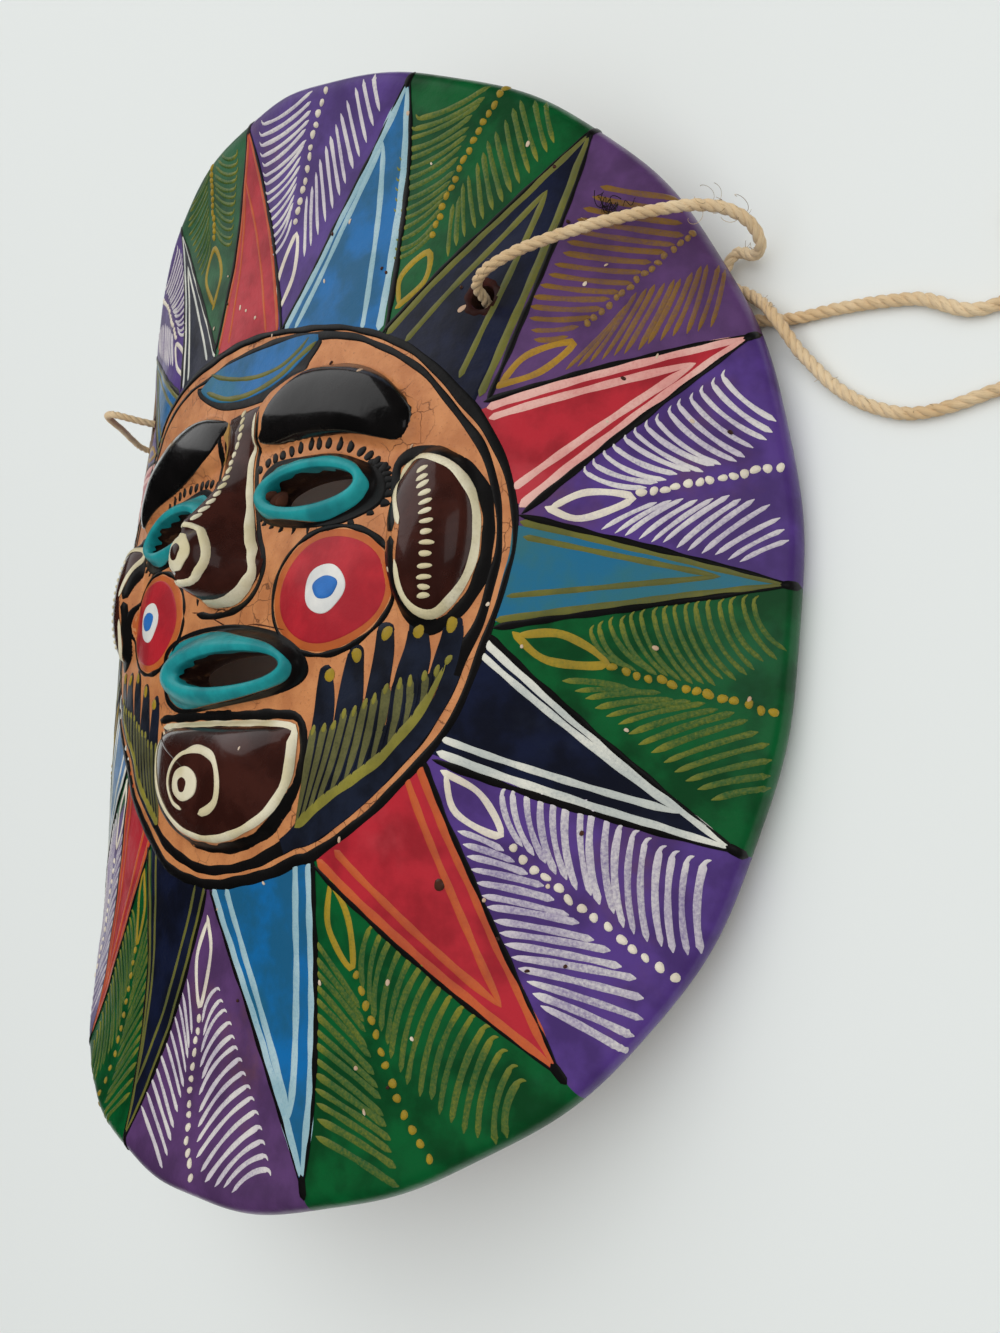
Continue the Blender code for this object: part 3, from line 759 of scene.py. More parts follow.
def blot(finish, outline, centre=None, lift=0.0, thick=0.09, rings=6):
    """A filled figure, thick in the middle and sunk at its outline."""
    line = np.array(outline, float)
    line = np.concatenate([line, line[:1]]) if not np.allclose(line[0], line[-1]) else line
    centre = line[:-1].mean(0) if centre is None else np.array(centre, float)
    share = np.concatenate([np.linspace(0, 0.96, rings), [0.985, 1.0]])
    rise = np.concatenate([np.full(rings, thick), [0.75 * thick, SUNK]])
    place = centre + (line[None] - centre) * share[:, None, None]
    keep_sheet(finish, lifted(place, lift + rise[:, None]))


def strip(finish, left, right, lift=0.0, thick=0.09, columns=8):
    """Paint filled in between two lines that run side by side."""
    count = int(np.clip(np.linalg.norm(np.diff(np.array(left), axis=0), axis=1).sum() / 1.6, 8, 80))
    a, b = smooth_curve(left, count), smooth_curve(right, count)
    share = np.concatenate([[0, 0.015], np.linspace(0.04, 0.96, columns), [0.985, 1]])
    rise = np.full(len(share), thick)
    rise[[0, -1]] = SUNK
    place = a[:, None] + (b - a)[:, None] * share[None, :, None]
    keep_sheet(finish, lifted(place, lift + rise))


def dab(finish, at, long, wide, angle=0.0, lift=0.0, thick=0.35, load=1.0):
    """A domed drop of paint."""
    a = np.linspace(0, 2 * math.pi, 13)
    uneven = 1 + 0.1 * np.sin(a * 2 + hand.uniform(0, 6)) + 0.05 * np.sin(a * 3 + hand.uniform(0, 6))
    x, y = long / 2 * np.cos(a) * uneven, wide / 2 * np.sin(a) * uneven
    x[-1], y[-1] = x[0], y[0]
    line = np.stack([at[0] + x * math.cos(angle) - y * math.sin(angle),
                     at[1] + x * math.sin(angle) + y * math.cos(angle)], -1)
    share = np.array([0, 0.45, 0.8, 1.0])
    rise = np.array([thick, 0.85 * thick, 0.5 * thick, SUNK])
    place = np.array(at) + (line[None] - np.array(at)) * share[:, None, None]
    keep_sheet(finish, lifted(place, lift + rise[:, None], load))


def figure(at, half_u, half_v, count=61, tilt=0.0, wobble=0.0, phase=0.0):
    """Outline of an ellipse, drawn a little unevenly."""
    a = np.linspace(0, 2 * math.pi, count)
    c, s = np.cos(a), np.sin(a)
    swell = 1 + wobble * np.sin(3 * a + phase) + 0.6 * wobble * np.sin(5 * a + 2 * phase)
    x, y = half_u * c * swell, half_v * s * swell
    return np.stack([at[0] + x * math.cos(tilt) - y * math.sin(tilt),
                     at[1] + x * math.sin(tilt) + y * math.cos(tilt)], -1)


def by_angle(points, at, half, around):
    """A closed outline through points, read at the angles of an ellipse, so that two can be joined."""
    x, y = ((smooth_curve(points, 400, closed=True) - at) / half).T
    angle, reach = np.arctan2(y, x), np.hypot(x, y)
    order = np.argsort(angle)
    share = np.interp(around, angle[order], reach[order], period=2 * math.pi)
    return np.array(at) + np.stack([half[0] * share * np.cos(around), half[1] * share * np.sin(around)], -1)


def ring_sheet(finish, rows, side=1):
    """Paint through closed lines of equal count, each with its lift."""
    place = np.stack([line for line, _ in rows]) * [side, 1]
    lifts = np.stack([rise + np.zeros(place.shape[1]) for _, rise in rows])
    keep_sheet(finish, lifted(place, lifts))


# %% [markdown]
# ## The sixteen rays
# Each ray is a filled triangle with a double stripe along both sides: the outer pair runs out to the tip, the
# inner pair meets before it. The ray is then drawn round with a thin black line that swells and thins.

# %% Paint the rays
# Ray 5 is blue paint greyed towards green: the grey-green is a painted sheen from the right.
RAY_PAINT = {1: ("red", "orange", 1.3), 2: ("blue", "pale", 2.2), 3: ("navy", "olive", 2.0),
             4: ("red", "pink", 2.2), 5: ("teal", "olive", 1.5), 6: ("navy", "white", 1.8),
             7: ("red", "orange", 2.2), 8: ("blue", "pale", 2.5), 9: ("navy", "olive", 1.5),
             10: ("red", "orange", 1.8), 11: ("blue", "white", 1.9), 12: ("navy", "olive", 1.8),
             13: ("navy", "white", 1.8), 14: ("red", "pink", 2.0), 15: ("blue", "olive", 1.8),
             16: ("navy", "white", 1.4)}


def bowed(a, b, bow):
    """A line from a to b with a slight bow, as a hand draws it."""
    a, b = np.array(a, float), np.array(b, float)
    side = np.array([-(b - a)[1], (b - a)[0]]) / np.linalg.norm(b - a)
    t = np.linspace(0, 1, 5)[:, None]
    return a + (b - a) * t + side * bow * 4 * t * (1 - t)


def start_at_frame(sheet):
    """Moves a ray's inner end out to the oval's outer line, so that it starts just under the line's black."""
    u, v = sheet[..., 0], sheet[..., 1]
    grow = np.maximum(1, (frame_reach(np.arctan2(v, u)) - 0.9) / np.hypot(u, v))
    sheet[..., :2] *= grow[..., None]


for number, (tip, base_a, base_b, out_a, out_b, in_a, in_b, meet) in RAYS.items():
    fill, stripes, width = RAY_PAINT[number]
    bow = hand.uniform(-0.7, 0.7)
    edge_a, edge_b = (bowed(base, tip, bow) for base in (base_a, base_b))
    inner_a, inner_b = (bowed(np.array(base) * 0.96, tip, bow) for base in (base_a, base_b))
    strip("ray " + fill, inner_a, inner_b, columns=16)
    start_at_frame(SHEETS["ray " + fill][-1])
    middle = between(base_a, base_b, 0.5)
    for start, finish_at, taper, inner in ((out_a, tip, 7, False), (out_b, tip, 7, False),
                                           (in_a, meet, 5, True), (in_b, meet, 5, True)):
        end = between(finish_at, middle, 0.012 if inner else 0.035)
        stroke("stripe " + stripes, bowed(start, end, bow * 0.7), width * (0.85 if inner else 1), end=taper,
               load=(0.95, 0.8, 0.9), lift=0.11)
    for corner, edge in ((base_a, edge_a), (base_b, edge_b)):
        outward = np.array(corner) - np.array(middle)
        outward = outward / np.linalg.norm(outward) * 0.35
        line = edge + outward * np.linspace(1, 0, len(edge))[:, None]
        stroke("black", line, hand.uniform(1.15, 1.6), start=2, end=24, lift=0.14, wobble=0.16)
    stroke("black", [between(tip, middle, 0.05), between(tip, middle, -0.02)], 1.8, lift=0.12)
print(len(SHEETS), "paints so far")

# %% [markdown]
# ## The panels
# Between two rays lies a panel with a drawn loop at its inner end, a row of dots from the loop to the rim,
# and two combs of curved strokes that lean on the dots like the barbs of a feather. A comb is kept as two
# lines, one through the starts of its strokes and one through their ends. One comb starts with a small hook.

# %% The panels' combs
# Each panel: its paints (bright, strokes), the loop's four points, the dots' line and number, the load of the
# strokes, and two combs of (starts, ends, number, bow, width)
PANELS = {
    16: ("yellow", "green", [(-23.7, 90), (-18.4, 98.5), (-21.9, 106.9), (-27.6, 100.2)],
         [(-21.5, 109.5), (-19.9, 119.3), (-17.4, 127)], 12, 0.42,
         ([(-11.9, 104), (-9.3, 111.5), (-5.5, 119.2), (-3.6, 124)],
          [(-20, 111), (-18.2, 119.5), (-15.6, 125.6), (-11.8, 127.8)], 12, 1.2, 1.1),
         ([(-31.3, 103), (-35.4, 112), (-38.9, 119), (-33, 123.9)],
          [(-23.9, 110), (-22.6, 117), (-20.6, 123), (-19, 126.8)], 12, -1.2, 1.1)),
    1: ("cream", "white", [(12, 77.5), (18, 85.5), (19, 95), (11.5, 86)],
        [(19, 98), (21.5, 104), (24, 108), (26.5, 114), (29, 118.5), (33.5, 124)], 13, 0.9,
        ([(9, 93), (7.5, 104.5), (7, 112), (7, 117), (7, 122.5), (9, 126)],
         [(17, 99.5), (20, 107.5), (23, 113), (25.5, 118), (28, 122.5), (29.5, 125.6)], 15, -1.2, 1.05),
        ([(22, 88), (27, 91.5), (32.5, 96), (38, 101.5), (44, 107.5), (49, 113.5)],
         [(23.5, 102.5), (28.5, 109), (33.5, 114), (38.5, 118.5), (43.5, 121.8), (48.5, 122.6)], 12, 0.2,
         1.2)),
    2: ("yellow", "green", [(54.6, 65.2), (62.6, 69.5), (63.2, 76.2), (55.8, 72.5)],
        [(64, 80.1), (69.4, 92.3), (81.3, 109.5)], 17, 0.5,
        ([(53.6, 77), (53.2, 88.1), (54.2, 99.4), (59.4, 108.7)],
         [(64, 81), (67.8, 91.2), (72.8, 102.8), (78.4, 110)], 15, -1.5, 1.3),
        ([(68.6, 73.8), (74.6, 78.9), (83, 84.9), (92.5, 93.9)],
         [(68.5, 85.5), (76.5, 96.8), (84.5, 104.6), (90.2, 104)], 13, 0.3, 1.25)),
    3: ("ochre", "ochre", [(82.4, 41.3), (92.6, 43.2), (99, 48.6), (89.2, 47.2)],
        [(101.5, 52.6), (107.7, 57.7), (114.2, 63.2), (121.5, 69.3)], 16, 0.72,
        ([(90.4, 50.4), (89.2, 54.5), (89.4, 59.5), (94.7, 68), (97.9, 75.7), (102.3, 82.1)],
         [(98.1, 50.4), (101.4, 53.4), (106.7, 57.8), (116.5, 66.2), (119.3, 70.2), (118, 76.7)], 15, -0.5,
         1.4),
        ([(97.9, 42.9), (103.1, 43.9), (110.4, 45.1), (116.6, 47.1), (122.2, 48.1), (125.6, 48.9)],
         [(108.8, 54.8), (112.5, 58.6), (115.9, 59.3), (120.6, 60.3), (124.8, 62.5), (128.1, 61.7)], 13, -0.3,
         1.15)),
    4: ("cream", "white", [(95.5, 14.8), (102.9, 12), (112.7, 15.4), (103.8, 17.1)],
        [(114.4, 16.2), (126.7, 18.4), (139, 20.4)], 13, 0.85,
        ([(102.8, 21.4), (109, 26.6), (115.1, 30.5), (121.8, 34.7), (128, 39)],
         [(115.1, 17.7), (123.3, 19.8), (129.3, 21.5), (134.8, 24.2), (138.3, 28.9)], 14, -1.0, 1.1),
        ([(107, 9.5), (119.2, 6.2), (132.4, 2.6)],
         [(117.1, 14.4), (131.2, 14.7), (137.7, 12.7), (141, 6.8)], 12, 0.4, 1.1)),
    5: ("yellow", "green", [(89.9, -9.6), (97.1, -15.2), (108.7, -15.9), (100.3, -10.4)],
        [(109.9, -16.7), (123.2, -20.2), (138, -24.2)], 14, 0.45,
        ([(105.1, -9.2), (118.6, -5.6), (134.7, -3.9)],
         [(112.7, -16.4), (127.8, -19.3), (140.2, -13.7)], 16, -1.5, 1.05),
        ([(100.4, -19.3), (109.4, -26.2), (117.9, -32.8), (127.1, -39.9)],
         [(113, -20.1), (130.2, -24.5), (136.3, -28.2), (137.4, -32.1), (138, -37.6)], 14, 0.4, 1.3)),
    6: ("cream", "white", [(74.9, -36.6), (83.8, -40.8), (88, -48.4), (78.6, -44.6)],
        [(90.4, -50.8), (106.2, -62), (120.5, -70.9)], 14, 0.62,
        ([(88, -39.8), (98.6, -40), (107.2, -42.6), (116.2, -47.7), (125.8, -50.5)],
         [(92.8, -50.4), (104.9, -58), (112.5, -63.5), (119, -66.6), (125.3, -66.5)], 16, -1.2, 1.45),
        ([(79, -48.2), (82.5, -56.1), (88.2, -66.7), (96.4, -78.6)],
         [(88.7, -51.3), (102.8, -62.6), (112.2, -70.7), (114.9, -76.4), (113.1, -84.8)], 15, 0.3, 1.5)),
    7: ("yellow", "green", [(46.7, -59.2), (52.6, -66.7), (54.8, -77), (47.6, -69.8)],
        [(55.9, -78.1), (64.5, -92.9), (70, -101.4), (76.8, -107.9)], 13, 0.42,
        ([(59.1, -67.9), (68.2, -71.2), (78.1, -78.4), (85.7, -83.3), (93.1, -91.4)],
         [(58.5, -80.6), (68.2, -95), (75.4, -98.2), (81.1, -101.5), (88.4, -103.2), (91.7, -101.8)], 16,
         -1.5, 1.5),
        ([(43.1, -72.4), (44.3, -84.3), (45.6, -92.4), (47.8, -100.7), (50.5, -109.6)],
         [(57.4, -84.2), (63.9, -97.6), (66.9, -105.1), (69.3, -109.8), (71, -113.7)], 14, 0.4, 1.5)),
    8: ("cream", "white", [(3.4, -72.5), (6.9, -80.4), (5.5, -92.9), (0.9, -83.2)],
        [(6.1, -95.4), (6.6, -105.7), (11, -119.1), (16.6, -125.4)], 14, 0.88,
        ([(12, -87.4), (21.4, -97.4), (30, -106.3), (36.3, -113.9), (39.9, -117.9)],
         [(7.7, -95.8), (11.5, -109.5), (14.9, -119.4), (20.8, -124.4), (31, -124.6)], 15, -1.4, 1.3),
        ([(-2.3, -88.3), (-7.7, -102.2), (-10.3, -111.8), (-12, -118.5)],
         [(3.5, -99.3), (4.7, -115.4), (5.2, -121.6), (6, -126.6)], 11, 0.3, 1.15)),
}


def loop_of(corners):
    inner, side_a, outer, side_b = [np.array(c, float) for c in corners]
    return [inner, side_a, outer, side_b, inner + (side_a - inner) * 0.12]


def comb(paint, starts, ends, count, bow, width, load, hooked):
    """A row of curved strokes from one line to another."""
    for start, end in zip(smooth_curve(starts, count), smooth_curve(ends, count)):
        start = start + [hand.uniform(-0.25, 0.25), hand.uniform(-0.25, 0.25)]
        end = end + [hand.uniform(-0.5, 0.5), hand.uniform(-0.5, 0.5)]
        line = bowed(start, end, bow * hand.uniform(0.8, 1.15))
        thin = load * hand.uniform(0.82, 1.08)
        stroke(paint, line, width * hand.uniform(0.88, 1.1), start=1.4 if hooked else 2.2, end=0.9,
               load=(1.0, thin, thin * 0.92, thin, min(1.0, thin * 1.15)), lift=0.02)
        if hooked and paint != "combs ochre":
            way = line[1] - line[0]
            way = way / np.linalg.norm(way)
            side = np.array([-way[1], way[0]]) * (1 if bow < 0 else -1)
            stroke(paint, [start + way * 1.0, start + side * 0.3 + way * 0.1, start + side * 1.1 - way * 0.4],
                   width * 0.55, end=1.2, load=(0.95, 1.0), lift=0.05)


def paint_panel(bright, strokes, loop, dots, dot_count, load, hooked_comb, plain_comb):
    stroke("dots " + bright, loop_of(loop), 1.55 if bright == "cream" else 1.7, start=1, end=2,
           load=(1.0, 0.7, 0.85, 0.75, 0.95), lift=0.03)
    line = smooth_curve(dots, dot_count)
    way = np.arctan2(*np.gradient(line, axis=0).T[::-1])
    for at, angle in zip(line, way):
        size = hand.uniform(0.75, 1.05) * (0.75 if bright == "ochre" else 1)
        dab("dots " + bright, at + [hand.uniform(-0.3, 0.3), hand.uniform(-0.3, 0.3)], 2.1 * size,
            1.75 * hand.uniform(0.85, 1.15), angle + hand.uniform(-0.5, 0.5), thick=0.4,
            load=hand.uniform(0.85, 1) * (0.5 if bright == "ochre" else 1))
    comb("combs " + strokes, *hooked_comb, load, True)
    comb("combs " + strokes, *plain_comb, load, False)


for panel in PANELS.values():
    paint_panel(*panel)
print(len(PANELS), "panels drawn from the picture")

# %% [markdown]
# ## The far panels
# The picture doesn't show the panels on the far side. The painter worked round the mask with the same
# figures, so each far panel takes the figures of a near one, turned over and stretched to fit between its own
# rays.


# %% Fit near figures to the far panels
def panel_corners(number):
    """The panel's inner end and the tips on either side of it, clockwise."""
    following = number % len(RAYS) + 1
    inner = between(RAYS[number][2], RAYS[following][1], 0.5)
    return np.array([inner, RAYS[number][0], RAYS[following][0]])


def fitted(points, source, target):
    """Moves points as the triangle source is stretched onto the triangle target."""
    points = np.array(points, float)
    weights = np.linalg.solve(np.vstack([source.T, np.ones(3)]), np.vstack([points.T, np.ones(len(points))]))
    return (target.T @ weights).T


def fitted_comb(comb_of, source, target):
    starts, ends, count, bow, width = comb_of
    return fitted(starts, source, target), fitted(ends, source, target), count, -bow, width


FAR_PANELS = {9: 7, 10: 6, 11: 5, 12: 4, 13: 2, 14: 3, 15: 1}
for number, model in FAR_PANELS.items():
    bright, strokes, loop, dots, dot_count, load, hooked_comb, plain_comb = PANELS[model]
    source = panel_corners(model)
    target = panel_corners(number)[[0, 2, 1]]
    paint_panel(bright, strokes, fitted(loop, source, target), fitted(dots, source, target), dot_count, load,
                fitted_comb(hooked_comb, source, target), fitted_comb(plain_comb, source, target))
print(len(FAR_PANELS), "panels fitted on the far side")

# %% [markdown]
# ## The frame of the face
# Round the face runs a black band, then a thin line where the terracotta is left bare, then a thin black line
# against the rays, between the oval's four lines.


# %% The bands round the oval
def band(finish, outer_column, inner_column, lift, spill=0.0):
    """Paint between two of the oval's lines, and a little over the outer one."""
    angles = np.linspace(0, 2 * math.pi, 361)
    lines = []
    for column, beyond in ((outer_column, spill), (inner_column, 0.0)):
        wave = 0.14 * np.sin(angles * 17 + column) + 0.1 * np.sin(angles * 41 + 2 * column)
        reach = frame_reach(angles, column) + beyond + wave
        reach[-1] = reach[0]
        lines.append(np.stack([reach * np.cos(angles), reach * np.sin(angles)], -1))
    outer, inner = lines
    ring_sheet(finish, [(outer + (inner - outer) * share, rise + lift)
                        for share, rise in ((0, SUNK), (0.12, 0.12), (0.5, 0.13), (0.88, 0.12), (1, SUNK))])


band("black", RAYS_START, LINE_OUTER, 0.12, 0.4)
band("black", LINE_INNER, BAND_INNER, 0.0)
print("bands drawn")

# %% [markdown]
# ## The leaf and the brows
# A blue leaf with an olive edge lies over the middle of the forehead. The brows are thick shiny black, the
# glossiest paint on the mask, over raised clay.

# %% Leaf and brows
LEAF = [(29.5, 66), (21.5, 67.8), (11, 68.6), (1.5, 69.4), (-10, 70), (-18.5, 70), (-25, 68.6), (-27.6, 67.5),
        (-23, 64), (-15.5, 60.5), (-3, 57.5), (8, 57), (17.5, 58.4), (24, 61), (29, 64)]
LEAF_UNDER = [(31, 63.5), (27, 59.5), (24, 56), (17, 54), (8, 54.2), (-2.5, 55.2), (-15, 58.3), (-27.5, 65),
              (-31, 69)]
leaf_shadow = smooth_curve(LEAF_UNDER + LEAF[7::-1], 70, closed=True)
blot("black", leaf_shadow, centre=(1, 62), thick=0.12)
blot("ray blue", smooth_curve(LEAF, 70, closed=True), centre=(1, 63.5), lift=0.12, thick=0.1)
LEAF_RIB_LOW = [(29, 64.3), (22, 61.7), (15.5, 59.4), (5.5, 58.2), (-3, 58.6), (-12.5, 60.8), (-23, 65.5)]
LEAF_RIB_HIGH = [(26, 66.3), (22, 63.8), (15, 61.8), (5, 62), (-4, 63.8), (-14, 67), (-21.5, 70.3)]
stroke("stripe olive", LEAF_RIB_LOW, 1.7, start=3, end=4, lift=0.22, load=(0.9, 1, 0.7))
stroke("stripe olive", LEAF_RIB_HIGH, 1.4, start=4, end=4, lift=0.22, load=(0.6, 0.9, 0.5))

BROW = [(13.5, 44.5), (11, 42.5), (17.5, 40.5), (31, 39.5), (45.5, 37), (55.5, 34), (59.5, 33), (62, 34),
        (63, 37.5),
        (62, 41), (57.5, 46), (52, 50.5), (44.5, 54.5), (36.5, 56.5), (30.5, 56.5), (24.5, 54.5), (19, 51.5),
        (14.5, 47.5)]
# The left brow is painted further in, almost to the nose
LEFT_BROW = ([(-8.5, 53), (-7.5, 49.5), (-10, 45), (-18, 41.8), (-31, 39.7), (-45.5, 37)]
             + [(-u, v) for u, v in BROW[5:15]] + [(-23, 56), (-14.5, 55.2)])
brow_line = smooth_curve(BROW, 90, closed=True)
blot("gloss black", brow_line, centre=(38, 46.5), thick=0.2, rings=12)
blot("gloss black", smooth_curve(LEFT_BROW, 90, closed=True), centre=(-36, 47), thick=0.2, rings=14)
print("brow", np.ptp(brow_line, axis=0).round(1), "mm")

# %% [markdown]
# ## Eyes
# The rims of the eyes are thick teal paint that runs a little way down into the holes. Black paint lies round
# them, with a comb of small lashes scratched outwards, and a row of upright black dabs above.


# %% Eye rims and lashes
EYE_TEAL = [(52.5, 25), (51.5, 22.3), (48.5, 20.3), (44, 18.8), (40, 18), (35.5, 18.2), (30, 19.2),
            (24, 20.4),
            (18, 21.6), (14, 24), (12.8, 28), (13.6, 32), (17, 34.8), (22, 35.2), (28, 34.2), (34, 33),
            (40.5, 32.6),
            (45, 31.2), (49.5, 28.8)]
EYE_BLACK = [(57, 23.5), (56.6, 20.6), (54.5, 19.2), (51, 18), (45, 16.6), (38, 16.8), (29, 17.9), (17, 20.6),
             (11.6, 24.5), (10.8, 29), (11.6, 33.6), (16, 36.2), (22, 36.4), (30.5, 35.3), (37, 34.4),
             (43, 33),
             (48.5, 30.8), (52.5, 29), (55.5, 26.6)]
LASH_DABS = [(10, 36), (13.5, 37), (16.5, 37.5), (19.5, 37.7), (23, 38), (26.5, 38.1), (30.5, 38.1),
             (33.5, 37.6),
             (37, 37), (41, 35.9), (44.5, 34.7), (48, 33), (50.5, 31.6), (53, 29.8), (55.5, 28)]


def rim_sheet(finish, outer, hole, side, deep=-2.6):
    """Thick paint from an outer line to a hole's edge and down its wall, where it ends unevenly."""
    middle = hole.mean(0)
    wall = middle + (hole - middle) * 0.955
    turn = np.linspace(0, 2 * math.pi, len(hole))
    ragged = deep * np.clip(0.68 + 0.24 * np.sin(5 * turn + 1) + 0.2 * np.sin(13 * turn), 0.4, 1.1)
    slope = [(outer + (hole - outer) * share, 0.2) for share in np.linspace(0.05, 0.97, 11)]
    ring_sheet(finish, [(outer, SUNK)] + slope + [(middle + (hole - middle) * 0.99, 0.2),
                                                  (middle + (hole - middle) * 0.96, -0.4),
                                                  (wall, ragged * 0.5), (wall, ragged)], side)


around = np.linspace(0, 2 * math.pi, 97)
eye_hole = figure(EYE_HOLE_AT, *EYE_HOLE, count=97, tilt=EYE_TILT)[:-1]
teal_line, black_line, hole_line = (by_angle(points, EYE_HOLE_AT, EYE_HOLE, around)
                                    for points in (EYE_TEAL, EYE_BLACK, eye_hole))
for side in (1, -1):
    rim_sheet("teal", teal_line, hole_line, side, deep=-3.4)
    ring_sheet("black", [(black_line, SUNK)] + [(black_line + (teal_line - black_line) * share, 0.22)
                                                for share in np.linspace(0.12, 1.04, 8)], side)
    for i in range(54, 108, 3):
        root, out = black_line[i % 96], black_line[i % 96] - teal_line[i % 96]
        out = out / np.linalg.norm(out)
        reach = 1.5 + 1.3 * max(0.0, math.cos(around[i % 96])) ** 2
        lash = np.array([root - out * 0.8, root + out * reach * hand.uniform(0.8, 1.15)]) * [side, 1]
        stroke("black", lash, 2.2, start=0.4, end=2.8, lift=0.05)
    for at in LASH_DABS:
        lean = math.atan2(at[1] - EYE_AT[1], (at[0] - EYE_AT[0]) * 0.6)
        dab("black", (at[0] * side, at[1]), 3.3, 2.5, lean if side > 0 else math.pi - lean, thick=0.2)
dab("clay lump", (20.2, 26.0), 6.4, 4.6, 0.2, lift=-2.6, thick=1.9)
dab("clay lump", (22.6, 25.2), 4.2, 3.4, 0.9, lift=-2.0, thick=1.7)
dab("clay lump", (18.6, 27.2), 3.4, 2.8, 0.4, lift=-1.4, thick=1.5)
print("eyes", len(LASH_DABS), "dabs over each")

# %% [markdown]
# ## Nose
# The nose is dark maroon and very glossy. Small cream dashes run slanting down its ridge to a round knob with
# painted rings, and a cream line borders it on the right and curls under.

# %% Nose
rows = np.concatenate([np.linspace(NOSE_TOP - 0.3, 8, 80), np.linspace(7.6, 1.6, 16)])
share = np.sin(np.linspace(-math.pi / 2, math.pi / 2, 41))
half = nose_half_width(np.maximum(rows, NOSE_FOOT + 0.25)) + 0.35
place = np.stack([half[:, None] * share, np.broadcast_to(rows[:, None], (len(rows), len(share)))], -1)
lifts = np.where(np.abs(share) > 0.999, SUNK, 0.18) + np.zeros((len(rows), 1))
lifts[[0, -1]] = SUNK
keep_sheet("maroon", lifted(place, lifts))

NOSE_RIGHT = [(10, 50), (9.5, 45.5), (6.5, 39), (7.5, 31), (10, 22.5), (12, 17), (13.5, 14), (14, 9.5),
              (11, 5.5),
              (6, 3), (0, 2.5), (-5, 2.9)]
NOSE_EDGE = [(12, 50), (11.4, 45.5), (8.7, 39), (9.6, 31), (12, 22.5), (14, 17), (15.6, 14), (16.2, 9),
             (12.6, 3.6),
             (6, 0.8), (-5, 0.3), (-14.5, 1.8)]
stroke("cream", NOSE_RIGHT, 1.5, start=2, end=10, lift=0.3, load=(0.8, 0.9, 1, 1, 0.9), thick=0.22)
stroke("cream", NOSE_RIGHT[7:], 1.8, start=4, end=12, lift=0.32, load=(1, 0.9, 1), thick=0.25)
stroke("black", NOSE_EDGE, 2.0, start=3, end=3, lift=0.02)
stroke("stripe ochre", [(-8, 53), (-7, 48.5), (-5.5, 44.5), (-8, 41)], 1.0, start=1, end=4, lift=0.25)
NOSE_LEFT = [(-9.2, 53), (-8.5, 48), (-7.8, 44.5), (-9, 40), (-9.8, 34), (-11.6, 26), (-14.2, 19), (-16, 12),
             (-14.5, 4)]
stroke("black", NOSE_LEFT, 1.4, lift=0.02)
RIDGE = smooth_curve([(0, 53), (1.7, 48), (1.0, 44), (0, 40.5), (1, 35), (1.5, 30), (1.5, 22.4)], 14)
for at in RIDGE:
    dab("cream", at, 2.15 * hand.uniform(0.9, 1.1), 1.35, math.radians(72), lift=0.2, thick=0.35)
KNOB_RING = [(-2, 20), (1.4, 20), (5.2, 17.6), (6.6, 13.4), (5.9, 9.2), (2, 6), (-4, 6.6), (-6.6, 10),
             (-6.6, 15), (-4, 18.6)]
KNOB_BLOB = [(-3.4, 17.4), (0.8, 17.8), (4, 15), (4.2, 11.4), (1.2, 8.6), (-3, 9.8)]
stroke("cream", KNOB_RING, 1.25, start=1.2, end=1.2, lift=0.24, thick=0.25, load=(0.95, 1, 0.9, 1))
blot("cream", smooth_curve(KNOB_BLOB, 40, closed=True), centre=(0.2, 13), lift=0.16, thick=0.2)
blot("maroon", figure((0.5, 13.0), 1.7, 2.0, wobble=0.06), lift=0.36, thick=0.12, rings=4)
print("nose", len(RIDGE), "dashes")

# %% [markdown]
# ## Cheeks and ears
# The cheeks are targets: a black line, an orange ring, a red disc, a white ring and a blue middle. The ears
# are raised maroon ovals with a cream line, a heavy black line outside it and short cream dabs down the
# crest.

# %% Cheeks and ears
CHEEK_PAINT_AT = (41.5, 2.0)
EAR_LINE = [(65.6, 12.5), (63.8, 16.5), (62.1, 21), (61.4, 25), (63, 27.3), (67.4, 27.7), (72.3, 26.1),
            (76.2, 23.8),
            (79.4, 19.6), (81, 15), (81.3, 10), (80.8, 5), (79, 0.6), (76.2, -3), (73, -5.4), (69.8, -5.2),
            (67, -2.8),
            (65.4, 0.8), (64.8, 5.5)]
EAR_BLACK = [(63.3, 11.5), (61.4, 15.8), (60, 21), (59.2, 26.4), (60.8, 28.9), (66.3, 29.7), (74, 27.2),
             (79, 23.4),
             (82.2, 19), (83.6, 14), (83.7, 9), (83, 3), (81, -1.4), (77.8, -5), (73.4, -7.7), (69.2, -7.6),
             (65.4, -4.6), (63.2, 0), (62.4, 5.5), (63, 10.6)]
EAR_DASHES = [(69.5, 24), (70, 22), (70.5, 20.4), (71.3, 18.5), (71.8, 16.5), (72, 14.5), (72.5, 12.4),
              (72.6, 10.2),
              (72.9, 8), (72.6, 5.8), (72.4, 3.4), (72.1, 1.3), (71.9, -0.6), (71.6, -2.2)]
